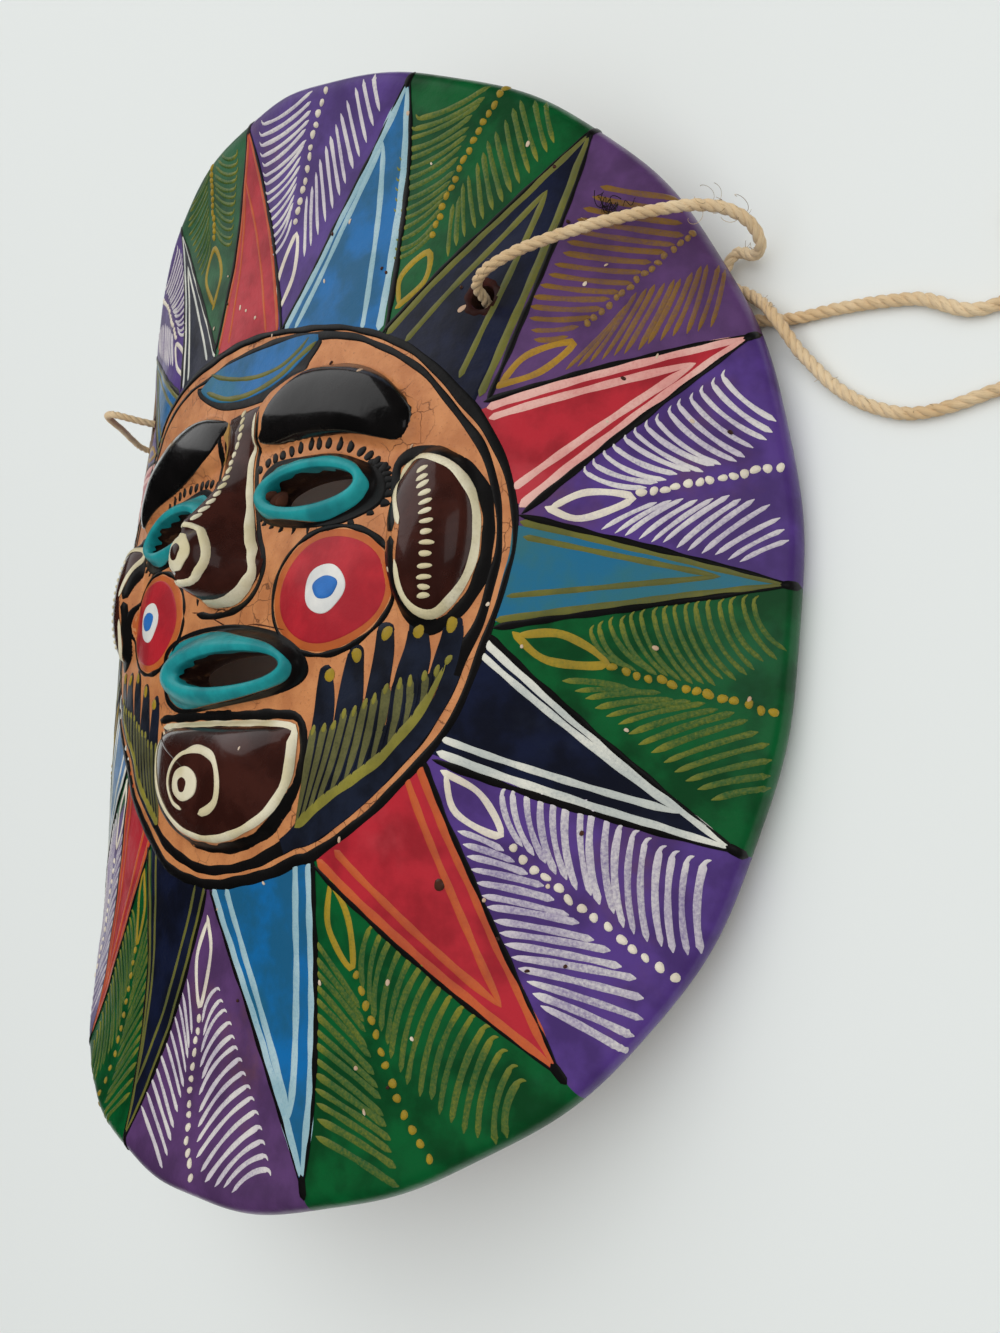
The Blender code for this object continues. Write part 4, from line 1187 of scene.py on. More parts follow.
for side in (1, -1):
    at = (CHEEK_PAINT_AT[0] * side, CHEEK_PAINT_AT[1])
    blot("cheek orange", figure(at, 19.2, 13.8, wobble=0.008, phase=side), thick=0.06, rings=12)
    disc = figure((at[0] + 0.5 * side, at[1]), 17.0, 12.0, wobble=0.012, phase=2 * side)
    blot("cheek red", disc, lift=0.09, thick=0.08, rings=12)
    edge = figure(at, 20.0, 14.4, wobble=0.008, phase=side)
    stroke("black", edge, 1.3, start=2, end=2, lift=0.1, wobble=0.2)
    white = figure((at[0] + 0.2 * side, at[1] + 0.2), 6.4, 5.6, wobble=0.03, phase=1.0)
    blot("white", white, lift=0.2, thick=0.12)
    blue = figure((at[0] + 0.6 * side, at[1] + 0.4), 3.9, 2.6, wobble=0.04)
    blot("eye blue", blue, lift=0.36, thick=0.1, rings=4)

    ear_line = np.array(EAR_LINE) * [side, 1]
    blot("maroon", smooth_curve(ear_line, 70, closed=True), centre=(71.5 * side, 11.5), thick=0.14, rings=16)
    stroke("black", np.array(EAR_BLACK) * [side, 1], 3.0, start=1, end=1, lift=0.12, wobble=0.1)
    stroke("cream", ear_line, 1.6, start=1.5, end=2, lift=0.28, load=(1, 0.8, 0.95, 0.85, 1), thick=0.2)
    for i, (u, v) in enumerate(EAR_DASHES):
        slant = 0.55 * max(0.0, 1 - i / 8)
        dab("cream", (u * side, v), 3.1 * hand.uniform(0.9, 1.05), 1.15, slant * side, lift=0.22, thick=0.3)
print("cheeks and ears drawn")

# %% [markdown]
# ## Mouth and chin
# The lips are the same thick teal as the eye rims, with a black line round them that is broad at the right.
# The chin is a maroon plate bordered in cream, with a cream hook round a small ringed dot.

# %% Mouth and chin
LIPS_TEAL = [(-30.4, -13.5), (-29, -8.5), (-23, -5), (-14, -3.9), (-3.5, -3.6), (4, -4.6), (12, -6.2),
             (24, -8.8),
             (31, -12), (33, -14.5), (31.5, -17), (28, -18.7), (21.5, -20.2), (12, -21.6), (-1, -22.6),
             (-17, -23),
             (-26, -20.5), (-29.6, -17)]
mouth_hole = figure(MOUTH_HOLE_AT, *MOUTH_HOLE, count=97)
lips_line = by_angle(LIPS_TEAL, MOUTH_HOLE_AT, MOUTH_HOLE, around)
rim_sheet("teal", lips_line, mouth_hole, 1, deep=-3.0)
LIPS_BLACK = [(-31.6, -13), (-30.5, -7.5), (-24, -4), (-15.5, -2.5), (-4, -2.3), (7.5, -2.8), (19.5, -4.8),
              (28, -7.3),
              (34.5, -11), (37, -15), (35.5, -17.8), (31, -19.6), (23, -21.2), (11.5, -22.6), (-2.5, -23.6),
              (-18.5, -24.1), (-28, -21.6), (-31.2, -17)]
surround = by_angle(LIPS_BLACK, MOUTH_HOLE_AT, MOUTH_HOLE, around)
ring_sheet("black", [(surround, SUNK)] + [(surround + (lips_line - surround) * share, 0.22)
                                          for share in np.linspace(0.12, 1.04, 8)])

CHIN_BORDER = [(-28.6, -27.4), (-7.5, -27.2), (11.5, -27.2), (31.4, -27.8), (33.8, -31.2), (33.8, -38.2),
               (32.3, -43),
               (27.7, -48), (18.1, -52.3), (7.4, -54.3), (-3.2, -53.4), (-10.4, -50.6), (-17.6, -45.4),
               (-23.4, -37.4),
               (-28.4, -28.4)]
blot("maroon", smooth_curve(CHIN_BORDER, 110, closed=True), centre=CHIN_AT, thick=0.16, rings=18)
CHIN_EDGE = [(-30.6, -27), (-30, -25.4), (-8, -25.1), (11.5, -25.2), (27.5, -25.2), (34.4, -26.2),
             (36.7, -31),
             (36.3, -37.5), (34.4, -42.8), (28, -50.6), (18, -55), (6.5, -56.8), (-5, -56), (-12.4, -52.6),
             (-19.6, -46.8), (-25.6, -38.4), (-30.4, -28.6)]
stroke("cream", CHIN_BORDER, 1.7, start=1.5, end=1.5, lift=0.3, load=(0.85, 1, 0.9, 1), thick=0.22)
stroke("black", CHIN_EDGE, 2.6, start=1, end=1, lift=0.02, wobble=0.12)
HOOK = [(6, -48.6), (10.6, -47.2), (13.5, -44.8), (14, -40.5), (12, -36), (7, -34), (1, -33.5), (-5, -35),
        (-9.5, -38.5), (-10.5, -42.5), (-7.5, -46.5), (-2.5, -48)]
stroke("cream", HOOK[:8], 1.9, start=0.8, end=5, lift=0.26, load=(1, 0.9, 1), thick=0.25)
stroke("cream", HOOK[6:], 1.1, start=2, end=1.5, lift=0.26, thick=0.2)
HOOK_EYE = [(-1, -37.6), (3.6, -38.8), (5.6, -41.2), (4.2, -44.4), (-1.5, -46), (-6.4, -44.2), (-7.2, -41.4),
            (-5.6, -38.8)]
blot("cream", smooth_curve(HOOK_EYE, 40, closed=True), centre=(-1, -42), lift=0.2, thick=0.2)
blot("maroon", figure((-1.5, -42), 2.2, 1.8, wobble=0.05), lift=0.4, thick=0.1, rings=4)
print("mouth and chin drawn")

# %% [markdown]
# ## Jaw
# On each side of the chin the painter set black finger strokes hanging from the cheek, olive strokes fanned
# over them with a curved olive line below, and a broad navy band that follows the frame.

# %% Jaw
# Each finger stroke's two sides, from its top down
FINGERS = [([(40.6, -16.5), (40, -20), (39.5, -25), (38.3, -33)],
            [(44.6, -16), (45.6, -20), (46, -25), (45.5, -30)]),
           ([(49.5, -12.5), (48.2, -16), (46.8, -22), (45.6, -30)],
            [(54, -12.5), (54.2, -16), (54.5, -22), (53.6, -29)]),
           ([(57.2, -8), (56.8, -13), (55.5, -20), (53.7, -29)],
            [(61.8, -8), (62.3, -13), (61.6, -20), (60.6, -29)]),
           ([(65.6, -8.5), (64.9, -12), (62.8, -18), (60.7, -29)],
            [(70.8, -8.5), (71.3, -11), (71.7, -14), (71, -18)]),
           ([(74.6, -7.5), (74, -10), (72.5, -14), (71.2, -18)],
            [(79.2, -8), (79.3, -10), (78, -16), (76, -21)])]
FINGER_DROPS = [(44, -17), (52, -13), (60, -8.7), (68.5, -8.7), (76.5, -7.7)]
JAW_TOP = [(38.3, -30), (45.5, -29), (53.5, -28), (60.5, -28), (66, -22), (71, -17.5), (77, -15)]
OLIVE_LINE = [(35.5, -50), (43, -44.5), (52.5, -39), (60, -34.5), (64.4, -30.4), (68.4, -26.6), (72, -21.6),
              (75.4, -15.6)]
FAN_TOPS = [(40, -28), (43.5, -27.5), (46.5, -27), (49.5, -24.5), (52.5, -24), (55.5, -22.5), (58, -21.5),
            (61, -19.5),
            (64.5, -18.5), (67, -18), (70.5, -17), (73.5, -16), (76.5, -14)]
LEFT_JAW = np.array([6.5, 4.0])  # how much further in and down the left side's figures stand


def on_side(points, side):
    """The right side's figures as they are, or turned over onto the narrower left side."""
    points = np.array(points, float)
    if side > 0:
        return points
    points = (points - LEFT_JAW) * [-1, 1]
    reach = np.linalg.norm(points, axis=-1)
    limit = frame_reach(np.arctan2(points[..., 1], points[..., 0]), BAND_INNER)
    return points * np.minimum(1, limit / reach)[..., None]


def frame_arc(degrees, column, inward):
    """A piece of one of the oval's lines, a little inside it."""
    angles = np.radians(degrees)
    reach = frame_reach(angles, column) - inward
    return np.stack([reach * np.cos(angles), reach * np.sin(angles)], -1)


NAVY_BAND = np.linspace(300, 347, 24)
for degrees in (NAVY_BAND, 180 - NAVY_BAND):
    strip("jaw black", frame_arc(degrees, LINE_INNER, 0.35), frame_arc(degrees, BAND_INNER, 0.2), lift=0.1,
          thick=0.1)
fan_feet = smooth_curve(OLIVE_LINE, 61)[(60 * np.linspace(0, 1, len(FAN_TOPS)) ** 1.3).astype(int)]
for side in (1, -1):
    strip("jaw black", on_side(JAW_TOP, side), on_side(OLIVE_LINE, side), thick=0.1)
    for left, right in FINGERS:
        strip("jaw black", on_side(left, side), on_side(right, side), lift=0.03, thick=0.12, columns=4)
        top, wide = between(left[0], right[0], 0.5), right[0][0] - left[0][0]
        dab("jaw black", on_side(top, side), wide, wide * 0.9, lift=0.03, thick=0.13)
    for at in FINGER_DROPS:
        dab("dots yellow", on_side(at, side), 3.4, 2.9, 1.2, lift=0.16, thick=0.3)
    for top, foot in zip(FAN_TOPS, fan_feet):
        middle = np.array(between(top, foot, 0.5)) + [0.5, 0.3]
        stroke("fan olive", on_side([top, middle, foot], side), 2.8, start=1.6, end=15,
               load=(0.95, 0.75, 0.8, 0.9), lift=0.14)
        way = np.array(top) - foot
        dab("jaw olive", on_side(np.array(top) - way / np.linalg.norm(way) * 0.9, side), 2.5, 1.3,
            math.atan2(way[1], way[0] * side), lift=0.26, thick=0.15)
    for k in range(len(FAN_TOPS) - 1):
        gap = [between(a[k], a[k + 1], 0.5) for a in (FAN_TOPS, fan_feet)]
        stroke("jaw black", on_side([gap[0], np.array(between(*gap, 0.5)) + [0.5, 0.3], gap[1]], side), 0.6,
               start=1, end=6, lift=0.27, thick=0.03)
    stroke("jaw olive", on_side(OLIVE_LINE, side), 2.4, start=2, end=14, lift=0.24, load=(1, 0.9, 0.95, 1))
print("jaw", len(FAN_TOPS), "olive strokes a side")

# %% [markdown]
# ## Chips and specks
# Small chips show pale clay or primer, and brown drops of varnish sit here and there. They are few and small.

# %% Chips, specks and the worn ring round the cord hole
CHIPS = [(57.1, 110.5), (86.5, 95), (63, 97), (104.5, 64.5), (100.4, 61), (115.8, 43.6), (123, 30), (107, 31),
         (117.6, -13), (112.4, -28), (134, -22), (97.6, -57), (84.8, -60.6), (64, -78.4), (58, -95.5),
         (61.2, -103),
         (46.4, -81), (70.4, -88), (26, -62.8), (8, -70.6), (69.6, 26.8), (47.5, 51.2), (63, 31.5), (-22, 84),
         (-6.5, 84.5), (-3.4, 82.6), (1.5, 79), (10, 71.5), (-14, 96), (30.2, 79.2), (39, 91), (62, 4),
         (84.5, -4),
         (20.5, -33.2), (49.5, -51.6), (92, -12.5)]
SPECKS = [(96, 75.5), (92.5, 88.5), (72.6, 65.5), (50, 76), (51.4, 74.6), (130, 27.4), (109.6, 39.6),
          (87.8, -67.4),
          (93.7, -72.6), (35, 57.2), (-13.5, 88), (33, 90), (104, -47), (66, -97.6), (20.2, -89), (101, -71)]
CRACKS = [[(-17, 2.5), (-11, 1.6), (-4.5, -0.5), (2, -2.8), (8.5, -4)],
          [(8.5, -4), (13, -3.4), (18, -4), (28, -6)],
          [(-6, 0.2), (-2, 1.6), (4, 0.8), (9, 1.2)]]
for at in CHIPS:
    dab("chip", at, hand.uniform(0.7, 1.5), hand.uniform(0.5, 1.1), hand.uniform(0, 3), lift=0.22, thick=0.1)
for at in SPECKS:
    dab("varnish drop", at, hand.uniform(0.7, 1.3), hand.uniform(0.6, 1.0), hand.uniform(0, 3), lift=0.22,
        thick=0.25)
dab("chip", (73.3, 60.4), 2.2, 1.4, 0.4, lift=0.2, thick=0.1)
dab("varnish drop", (75.2, -58.6), 2.6, 2.2, 0.2, lift=0.22, thick=0.3)
for (hole_u, hole_v), amount in zip(CORD_HOLES, (1.0, 0.8)):
    ring_angles = np.linspace(0, 2 * math.pi, 49)
    rough = 1 + 0.07 * np.sin(5 * ring_angles + 1) + 0.05 * np.sin(9 * ring_angles)
    outer = np.stack([hole_u + 4.6 * amount * rough * np.cos(ring_angles),
                      hole_v + 4.4 * amount * rough * np.sin(ring_angles)], -1)
    inner = np.stack([hole_u + CORD_HOLE_RADIUS * 0.98 * np.cos(ring_angles),
                      hole_v + CORD_HOLE_RADIUS * 0.98 * np.sin(ring_angles)], -1)
    ring_sheet("worn rim", [(outer, SUNK), (outer + (inner - outer) * 0.2, 0.2),
                            (outer + (inner - outer) * 0.9, 0.18), (inner, SUNK)])
for crack in CRACKS:
    stroke("crack", crack, 0.3, lift=0.08, thick=0.02, wobble=0.3)
print(len(CHIPS), "chips and", len(SPECKS), "specks")

# %% [markdown]
# ## The paints, and bending the drawing onto the mask
# Each paint is one piece. Its sheets are made flat as grids, joined at their seams, and then every vertex is
# lifted off the carved clay at its own place. Strokes thin enough to let the ground through know its colour.

# %% Paint finishes
PAINTS = {
    "black": varnished("black brush line", "#131111", "#0d0c0c", roughness=0.4, coat=0.25),
    "gloss black": varnished("thick gloss black", "#0e0d0d", "#141212", roughness=0.2, coat=0.9, gloss=0.1),
    "jaw black": varnished("blue black water paint", "#1b2131", "#11141e", roughness=0.36, coat=0.3),
    "jaw olive": varnished("olive water paint", "#8c8433", "#746e2a", under="#3f4426", roughness=0.4),
    "fan olive": varnished("greyed olive water paint", "#68663c", "#575530", under="#1d2620", roughness=0.4),
    "ray red": varnished("red water paint", "#b32330", "#941723", thin="#b83c44"),
    "ray blue": varnished("blue water paint", "#0d66a4", "#14587e", thin="#256c80"),
    # Ray teal: the blue is the paint's own colour, and the grey-green in it is a painted sheen of the pale
    # wall on the right rim.
    "ray teal": varnished("blue water paint greyed by painted sheen", "#1c6688", "#2a6874", thin="#35686a"),
    "ray navy": varnished("navy water paint", "#151b33", "#0f1220", thin="#242b3a"),
    "stripe orange": varnished("orange brush line", "#c05a2e", "#a8492a", under="#a63030"),
    "stripe pale": varnished("pale blue brush line", "#a9c3c9", "#8fb0b8", under="#2f7ba6"),
    "stripe olive": varnished("olive brush line", "#6d6a2b", "#5a5a2a", under="#3a5548"),
    "stripe pink": varnished("pink brush line", "#e0b0a4", "#d4938a", under="#b8535a"),
    "stripe white": varnished("white brush line", "#dcdacd", "#b9bdb6", under="#6f7a86"),
    "stripe ochre": varnished("ochre brush line", "#b8893e", "#9a7434"),
    "dots yellow": varnished("yellow water paint", "#a88a22", "#8f7820", under="#4c6228"),
    "dots cream": varnished("cream dots", "#e6ddca", "#d2c6b2", under="#a79bb4"),
    "dots ochre": varnished("ochre dots", "#a97f1e", "#94701f", under="#6a5046"),
    "combs green": varnished("dry yellow strokes on green", "#7e7c26", "#6c7228", under="#0f4f2a"),
    "combs white": varnished("white strokes on violet", "#d9d3ce", "#c6bdc4", under="#5a4384"),
    "combs ochre": varnished("dry ochre strokes on violet", "#85611f", "#6f4f20", under="#573c5c"),
    # The maroon is the paint's own dark colour, lightened a little as a painted sheen.
    "maroon": varnished("dark maroon gloss lightened by painted sheen", "#40201a", "#301510", roughness=0.22, coat=0.8, gloss=0.1),
    "cream": varnished("cream brush line", "#e2d9bd", "#cfc39c", under="#8b7f66"),
    "teal": varnished("thick teal paint", "#219a9d", "#187f84", roughness=0.38, coat=0.25),
    "cheek red": varnished("cheek red", "#b92631", "#a01c28"),
    "cheek orange": varnished("cheek orange", "#c2652e", "#ad5628"),
    "white": varnished("white paint", "#e4e1da", "#cfcfcc"),
    "eye blue": varnished("bright blue paint", "#2a70bd", "#2360a6"),
    "chip": varnished("bare primer chip", "#d9c9b4", "#b7977c", roughness=0.7, coat=0.0),
    "varnish drop": varnished("brown varnish drop", "#4a2c20", "#35201a", roughness=0.2, coat=0.5),
    "clay lump": varnished("rough brown clay", "#5b3421", "#3c2015", roughness=0.8, coat=0.0),
    "crack": varnished("dark crack", "#5b3220", "#43241a", roughness=0.8, coat=0.0),
    "worn rim": varnished("worn brown clay", "#421a12", "#2a100b", roughness=0.5, coat=0.1),
}


BARE_ROUND_HOLE = CORD_HOLE_RADIUS + 0.9  # no paint is left nearer than this to a cord hole's middle


def lay(name, sheets):
    """Makes one paint's sheets flat, then bends them onto the mask."""
    bm = bmesh.new()
    load = bm.verts.layers.float.new("load")
    for sheet in sheets:
        rows, columns = sheet.shape[:2]
        made = bmesh.ops.create_grid(bm, x_segments=columns - 1, y_segments=rows - 1, size=1)["verts"]
        for vertex, (u, v, lift, amount) in zip(made, sheet.reshape(-1, 4).tolist()):
            vertex.co = (u, v, lift)
            vertex[load] = amount
    bmesh.ops.remove_doubles(bm, verts=bm.verts, dist=0.001)
    if name != "worn rim":
        over = [face for face in bm.faces
                if any(math.dist(face.calc_center_median()[:2],
                                 hole) < BARE_ROUND_HOLE for hole in CORD_HOLES)]
        bmesh.ops.delete(bm, geom=over, context="FACES")
    place = np.array([vertex.co[:] for vertex in bm.verts])
    for vertex, point in zip(bm.verts, on_mask(place[:, 0], place[:, 1], place[:, 2]).tolist()):
        vertex.co = point
    obj = new_object("paint_" + name.replace(" ", "_"), bm, PAINTS[name])
    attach(obj, "root")
    return sum(len(p.vertices) - 2 for p in obj.data.polygons)


triangles = {name: lay(name, sheets) for name, sheets in SHEETS.items()}
print("paint", sum(triangles.values()), "triangles", triangles)

# %% [markdown]
# ## The twine
# The mask hangs by a natural twine of three plies laid together. It comes up through each cord hole, passes
# over the rim and is tied to itself behind it, and its long loop lies out on the table to the right. The
# route repeats the solid's own points, in millimetres.

# %% The twine's route
KNOT_RIGHT_AT = (108, 66, 4.4)
KNOT_LEFT_AT = (-93, 70.6, 4.4)
RIGHT_ARCH = [(119, 68.6, 2.5), (123.6, 66.4, 3), (126.6, 66.2, 6), (126.6, 68.6, 10.4), (123.4, 70.6, 14.8),
              (118.6, 71.4, 18.2), (112.2, 70.9, 22.2), (105, 69.6, 26.8), (98, 67.8, 31), (90.6, 65.6, 35),
              (84, 63.2, 37.2), (79.2, 62.2, 35.6), (77, 62, 31.4), (74.6, 61.7, 25), (76, 62.4, 18),
              (82.5, 65, 11.4), (91, 67.6, 7.4), (100, 67.8, 5.2)]
RIGHT_STRAND = [(116, 63, 3), (121.4, 59.6, 2.2), (125.6, 55.6, 3.2), (129.2, 50.6, 4.5), (133.6, 42.8, 2.4),
                (142, 32.8, 1.3), (153, 26.8, 1.3), (166, 27.4, 1.3)]
FAR_LOOP = [(179, 30, 1.3), (191, 36, 1.3), (198.5, 46, 1.3), (199, 58, 1.3), (191, 67, 1.3), (180, 69, 1.3),
            (171.6, 63.6, 1.3), (169.4, 55.5, 1.3), (171.2, 48.4, 1.3), (168.6, 42.6, 1.3)]
UNDER_STRAND = [(162, 42.4, 1.3), (154, 47.2, 1.3), (142, 50, 1.3), (131, 51.4, 1.3), (122, 54, 1.3),
                (108, 58, 1.3),
                (80, 63.4, 1.3), (40, 68, 1.3), (0, 70, 1.3), (-40, 70, 1.3), (-68, 69.4, 1.5),
                (-83, 69.2, 3.2)]
LEFT_ARCH = [(-103, 73.4, 4), (-111.6, 76.8, 3.3), (-118.4, 79.2, 4), (-123.4, 80.6, 8), (-123.4, 80.9, 14.2),
             (-117.4, 80.6, 20.6), (-108, 79.6, 28.4), (-99, 78, 35.6), (-90, 76, 40.8), (-82.4, 74.2, 41.6),
             (-78, 73, 35.6), (-75.4, 72.8, 27), (-75.2, 71.6, 20)]
TWINE_RADIUS = 1.2
TWINE_GAP = 0.3
KNOT_LENGTH = 4.8


def tie_end(knot_at, way):
    """The last two points of an end, beside the standing part at the knot's face."""
    side = way.cross(Vector((0, 0, -1))).normalized() * -1
    face = Vector(knot_at) + way * (KNOT_LENGTH / 2 + TWINE_GAP) + side * (2 * TWINE_RADIUS + TWINE_GAP)
    return [tuple(face + way * 5), tuple(face)]


RIGHT_WAY = (Vector(RIGHT_STRAND[0]) - Vector(RIGHT_ARCH[-1])).normalized()
LEFT_WAY = (Vector(UNDER_STRAND[-1]) - Vector(LEFT_ARCH[0])).normalized()
TWINE_ROUTE = (tie_end(KNOT_RIGHT_AT,
                       RIGHT_WAY)[::-1] + RIGHT_ARCH + [KNOT_RIGHT_AT] + RIGHT_STRAND + FAR_LOOP
               + UNDER_STRAND + [KNOT_LEFT_AT] + LEFT_ARCH + tie_end(KNOT_LEFT_AT, LEFT_WAY))
coarse = smooth_curve(TWINE_ROUTE, 2000)
twine_length = float(np.linalg.norm(np.diff(coarse, axis=0), axis=1).sum())
PLY_STEP = 0.75
twine_line = smooth_curve(TWINE_ROUTE, int(twine_length / PLY_STEP))
print("twine", round(twine_length), "mm long")

# %% [markdown]
# Each ply is a tube that winds round the twine's middle line, three turns apart by a third. The plies are
# made as one grid each, and their own map runs along the ply so that the fibres follow it.

# %% Twist the plies
PLIES = 3
PLY_TURN_MM = 6.6
AROUND_PLY = 8


def frames_along(line):
    """A way, a side and an up for each point of a line, turned as little as possible from one to the next."""
    way = np.gradient(line, axis=0)
    way /= np.linalg.norm(way, axis=1, keepdims=True)
    side = np.cross(way[0], [0.0, 0.0, 1.0])
    sides = []
    for w in way:
        side = side - w * (side @ w)
        side = side / np.linalg.norm(side)
        sides.append(side)
    sides = np.array(sides)
    return way, sides, np.cross(way, sides)


def twisted(name, line, radius):
    """A laid twine along a line in millimetres, closed to a point at its ends."""
    _, side, up = frames_along(line)
    run = np.concatenate([[0], np.cumsum(np.linalg.norm(np.diff(line, axis=0), axis=1))])
    spread = radius * 0.44
    ply_radius = radius - spread
    bm = bmesh.new()
    map_layer = bm.loops.layers.uv.new("along")
    for ply in range(PLIES):
        a = 2 * math.pi * (run / PLY_TURN_MM + ply / PLIES)
        loose = 1 + 0.06 * np.sin(run / 5.3 + 2 * ply)
        middle = line + spread * loose[:, None] * (np.cos(a)[:, None] * side + np.sin(a)[:, None] * up)
        _, s, n = frames_along(middle)
        made = bmesh.ops.create_grid(bm, x_segments=AROUND_PLY, y_segments=len(line) - 1, size=1)["verts"]
        b = np.linspace(0, 2 * math.pi, AROUND_PLY + 1)
        width = np.full(len(line), ply_radius)
        width[[0, -1]] *= 0.2
        skin = middle[:, None] + width[:, None, None] * (np.cos(b)[None, :, None] * s[:, None]
                                                         + np.sin(b)[None, :, None] * n[:, None])
        along = np.repeat(run, AROUND_PLY + 1)
        turned = np.tile(np.arange(AROUND_PLY + 1) / AROUND_PLY, len(line))
        where = {}
        for vertex, point, t, x in zip(made, skin.reshape(-1, 3).tolist(), turned, along):
            vertex.co = [c * MM for c in point]
            where[vertex] = (t, x / 10)
        for face in {f for vertex in made for f in vertex.link_faces}:
            for corner in face.loops:
                corner[map_layer].uv = where[corner.vert]
    bmesh.ops.remove_doubles(bm, verts=bm.verts, dist=MERGE)
    open_ends = [edge for edge in bm.edges if edge.is_boundary]
    bmesh.ops.holes_fill(bm, edges=open_ends, sides=AROUND_PLY + 2)
    bmesh.ops.recalc_face_normals(bm, faces=bm.faces)
    return new_object(name, bm, TWINE)


def twine_finish():
    """Undyed twine: dry pale fibres along each ply, with darker fibre streaks among them."""
    material, tree, shader = new_material("undyed twine")
    along = add(tree, "UVMap", uv_map="along").outputs["UV"]
    stretched = add(tree, "Mapping", {"Vector": along, "Scale": (14, 6, 1)}).outputs["Vector"]
    fibres = add(tree, "TexNoise", {"Vector": stretched, "Scale": 1.0, "Detail": 4.0,
                                    "Roughness": 0.7}).outputs["Fac"]
    place = add(tree, "TexCoord").outputs["Object"]
    tone = add(tree, "TexNoise", {"Vector": place, "Scale": 1000 / 14, "Detail": 3.0}).outputs["Fac"]
    colour = mix(tree, share_of(tree, tone, 0.35, 0.65), linear("#e4cba4"), linear("#d4b488"))
    colour = mix(tree, share_of(tree, fibres, 0.5, 0.72, 0.0, 0.55), colour, linear("#9d7c50"))
    tree.links.new(colour, shader.inputs["Base Color"])
    shader.inputs["Roughness"].default_value = 0.88
    shader.inputs["Sheen Weight"].default_value = 0.25
    shader.inputs["Sheen Roughness"].default_value = 0.5
    bump = add(tree, "Bump", {"Strength": 0.55, "Distance": 0.00025, "Height": fibres})
    tree.links.new(bump.outputs["Normal"], shader.inputs["Normal"])
    return material


TWINE = twine_finish()
twine = twisted("twine", twine_line, TWINE_RADIUS)
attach(twine, "root")
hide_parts("cord")
print("twine", len(twine.data.polygons), "faces")

# %% [markdown]
# ## Knots and stray fibres
# Behind the rim each end is wrapped twice round the standing part. Where the twine bends hardest and where it
# is handled, a few thin fibres stand off it.


# %% Knots
def wraps(name, knot_at, way, node):
    """Two turns of twine round the standing part."""
    way = np.array(way)
    side = np.cross(way, [0.0, 0.0, 1.0])
    side /= np.linalg.norm(side)
    up = np.cross(side, way)
    t = np.linspace(0, 1, 90)
    a = 2 * math.pi * 2.0 * t
    reach = 2 * TWINE_RADIUS + 0.15
    line = (np.array(knot_at) + way * ((t - 0.5) * (KNOT_LENGTH - 2 * TWINE_RADIUS))[:, None]
            + reach * (np.cos(a)[:, None] * side + np.sin(a)[:, None] * up))
    obj = twisted(name, line, TWINE_RADIUS * 0.96)
    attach(obj, "root")
    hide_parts(node)
    return obj


knots = [wraps("wraps_right", KNOT_RIGHT_AT, RIGHT_WAY, "knot_right"),
         wraps("wraps_left", KNOT_LEFT_AT, LEFT_WAY, "knot_left")]

# %% Stray fibres
FIBRE_RADIUS = 0.045
DUST_RADIUS = 0.08
fibre_hand = random.Random(5)


def curl(start, out, way, reach, turns, radius):
    """A fibre's line that curls as it leaves a point."""
    t = np.linspace(0, 1, 16)[:, None]
    a = 2 * math.pi * turns * t
    line = start + out * reach * t + way * radius * np.sin(a) + np.cross(out, way) * radius * (1 - np.cos(a))
    line[:, 2] = np.maximum(line[:, 2], 0.2)
    return line


def fibre_piece(name, lines, radius, finish):
    """Thin tubes along lines, as one piece."""
    bm = bmesh.new()
    for line in lines:
        _, s, n = frames_along(line)
        made = bmesh.ops.create_grid(bm, x_segments=4, y_segments=len(line) - 1, size=1)["verts"]
        b = np.linspace(0, 2 * math.pi, 5)[None, :, None]
        skin = line[:, None] + radius * (np.cos(b) * s[:, None] + np.sin(b) * n[:, None])
        for vertex, point in zip(made, skin.reshape(-1, 3).tolist()):
            vertex.co = [c * MM for c in point]
    bmesh.ops.remove_doubles(bm, verts=bm.verts, dist=MERGE)
    bmesh.ops.holes_fill(bm, edges=[edge for edge in bm.edges if edge.is_boundary], sides=6)
    bmesh.ops.recalc_face_normals(bm, faces=bm.faces)
    obj = new_object(name, bm, finish)
    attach(obj, "root")
    return obj


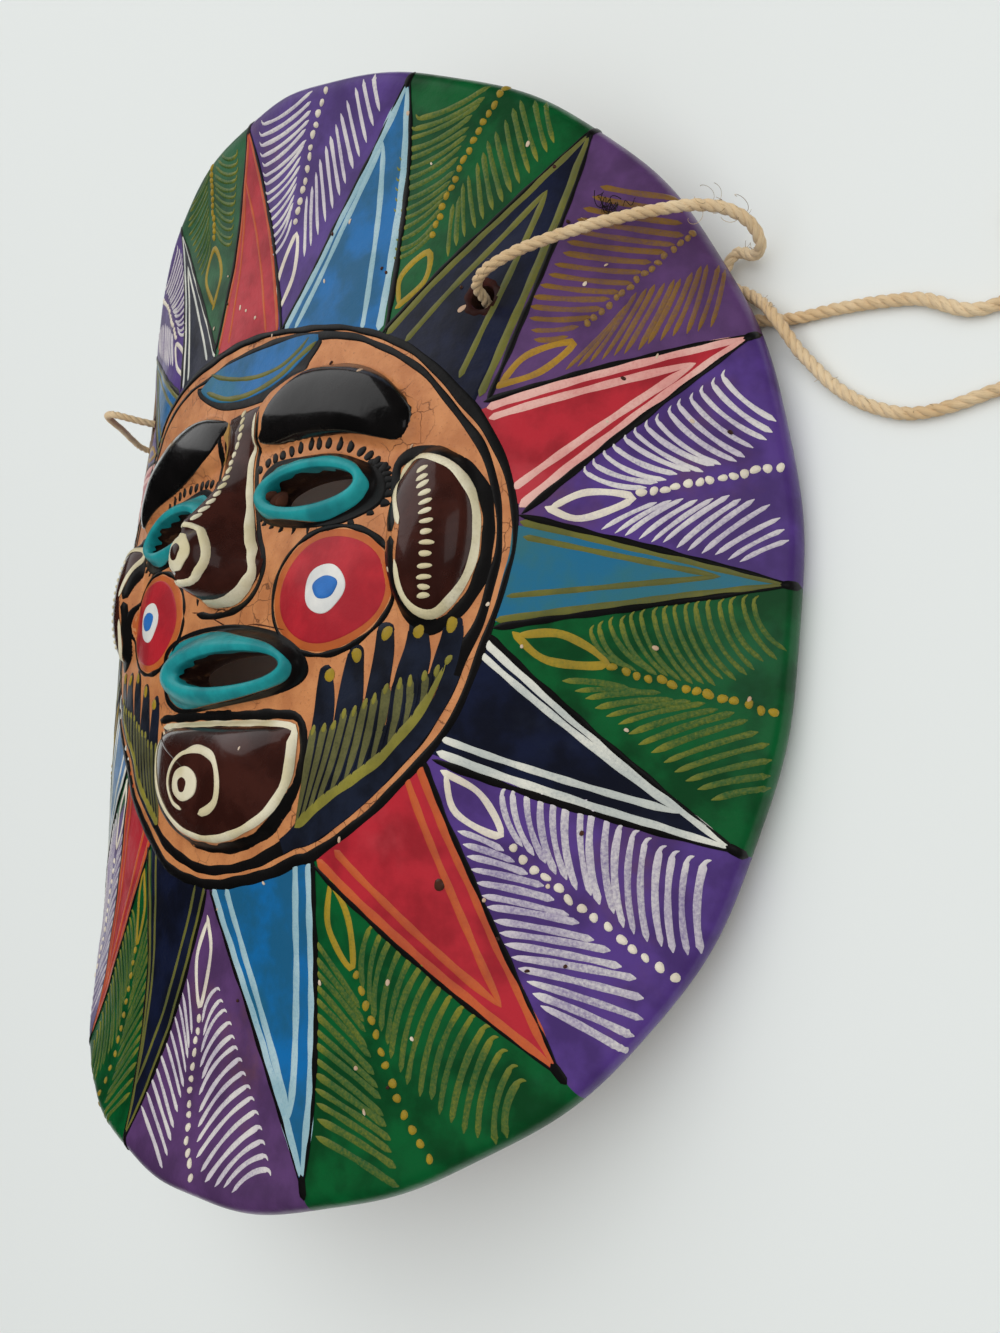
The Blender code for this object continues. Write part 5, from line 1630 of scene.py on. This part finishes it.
def fibres_on_twine():
    """Short loose fibres along the near twine, and a tuft of longer ones on the arch."""
    run = np.linspace(0, twine_length, len(twine_line))
    tuft = [fibre_hand.gauss(36, 2.5) for _ in range(9)]
    way, side, _ = frames_along(twine_line)
    lines = []
    for spot in tuft + [fibre_hand.uniform(15, 330) for _ in range(70)]:
        i = int(np.clip(np.searchsorted(run, spot), 2, len(run) - 3))
        a = fibre_hand.uniform(0.15, math.pi - 0.15)
        out = math.cos(a) * side[i] + math.sin(a) * np.array([0, 0, 1.0])
        out = out + way[i] * fibre_hand.uniform(-0.9, 0.9)
        long = spot in tuft
        lines.append(curl(twine_line[i] + out * TWINE_RADIUS * 0.5, out / np.linalg.norm(out), way[i],
                          fibre_hand.uniform(2.2, 4.6) if long else fibre_hand.uniform(0.9, 2.0),
                          fibre_hand.uniform(-1.1, 1.1) if long else fibre_hand.uniform(-0.35, 0.35),
                          fibre_hand.uniform(0.7, 1.3)))
    return lines


def dust_tangle(at, count):
    """Dark curled fibres that lie on the paint at a place of the mask."""
    u, v = np.array([at[0]]), np.array([at[1]])
    middle = on_mask(u, v, np.array([0.5]))[0] / MM
    out = across_of(carved, u, v)[0]
    lines = []
    for _ in range(count):
        flat = np.cross(out, [fibre_hand.uniform(-1, 1) for _ in range(3)])
        flat /= np.linalg.norm(flat)
        start, way = middle + flat * fibre_hand.uniform(-3, 3), np.cross(out, flat) + 0.12 * out
        lines.append(curl(start, flat, way, fibre_hand.uniform(0.8, 4.6), fibre_hand.uniform(0.5, 1.4),
                          fibre_hand.uniform(0.5, 1.4)))
    return lines


def fibre_finish(name, pale, dark):
    """Single dry fibres in two shades."""
    material, tree, shader = new_material(name)
    place = add(tree, "TexCoord").outputs["Object"]
    tone = add(tree, "TexNoise", {"Vector": place, "Scale": 1000 / 4, "Detail": 2.0}).outputs["Fac"]
    colour = mix(tree, share_of(tree, tone, 0.4, 0.6), linear(pale), linear(dark))
    tree.links.new(colour, shader.inputs["Base Color"])
    shader.inputs["Roughness"].default_value = 0.9
    return material


TANGLE_AT = (105.0, 76.4)
fibres = fibre_piece("stray_fibres", fibres_on_twine(), FIBRE_RADIUS,
                     fibre_finish("stray twine fibres", "#c9ad80", "#7d6a52"))
tangle = fibre_piece("dust_tangle", dust_tangle(TANGLE_AT, 16), DUST_RADIUS,
                     fibre_finish("dark dust fibres", "#1e1713", "#0e0b09"))
print("cord declared,", round(twine_length * MM, 3), "m")
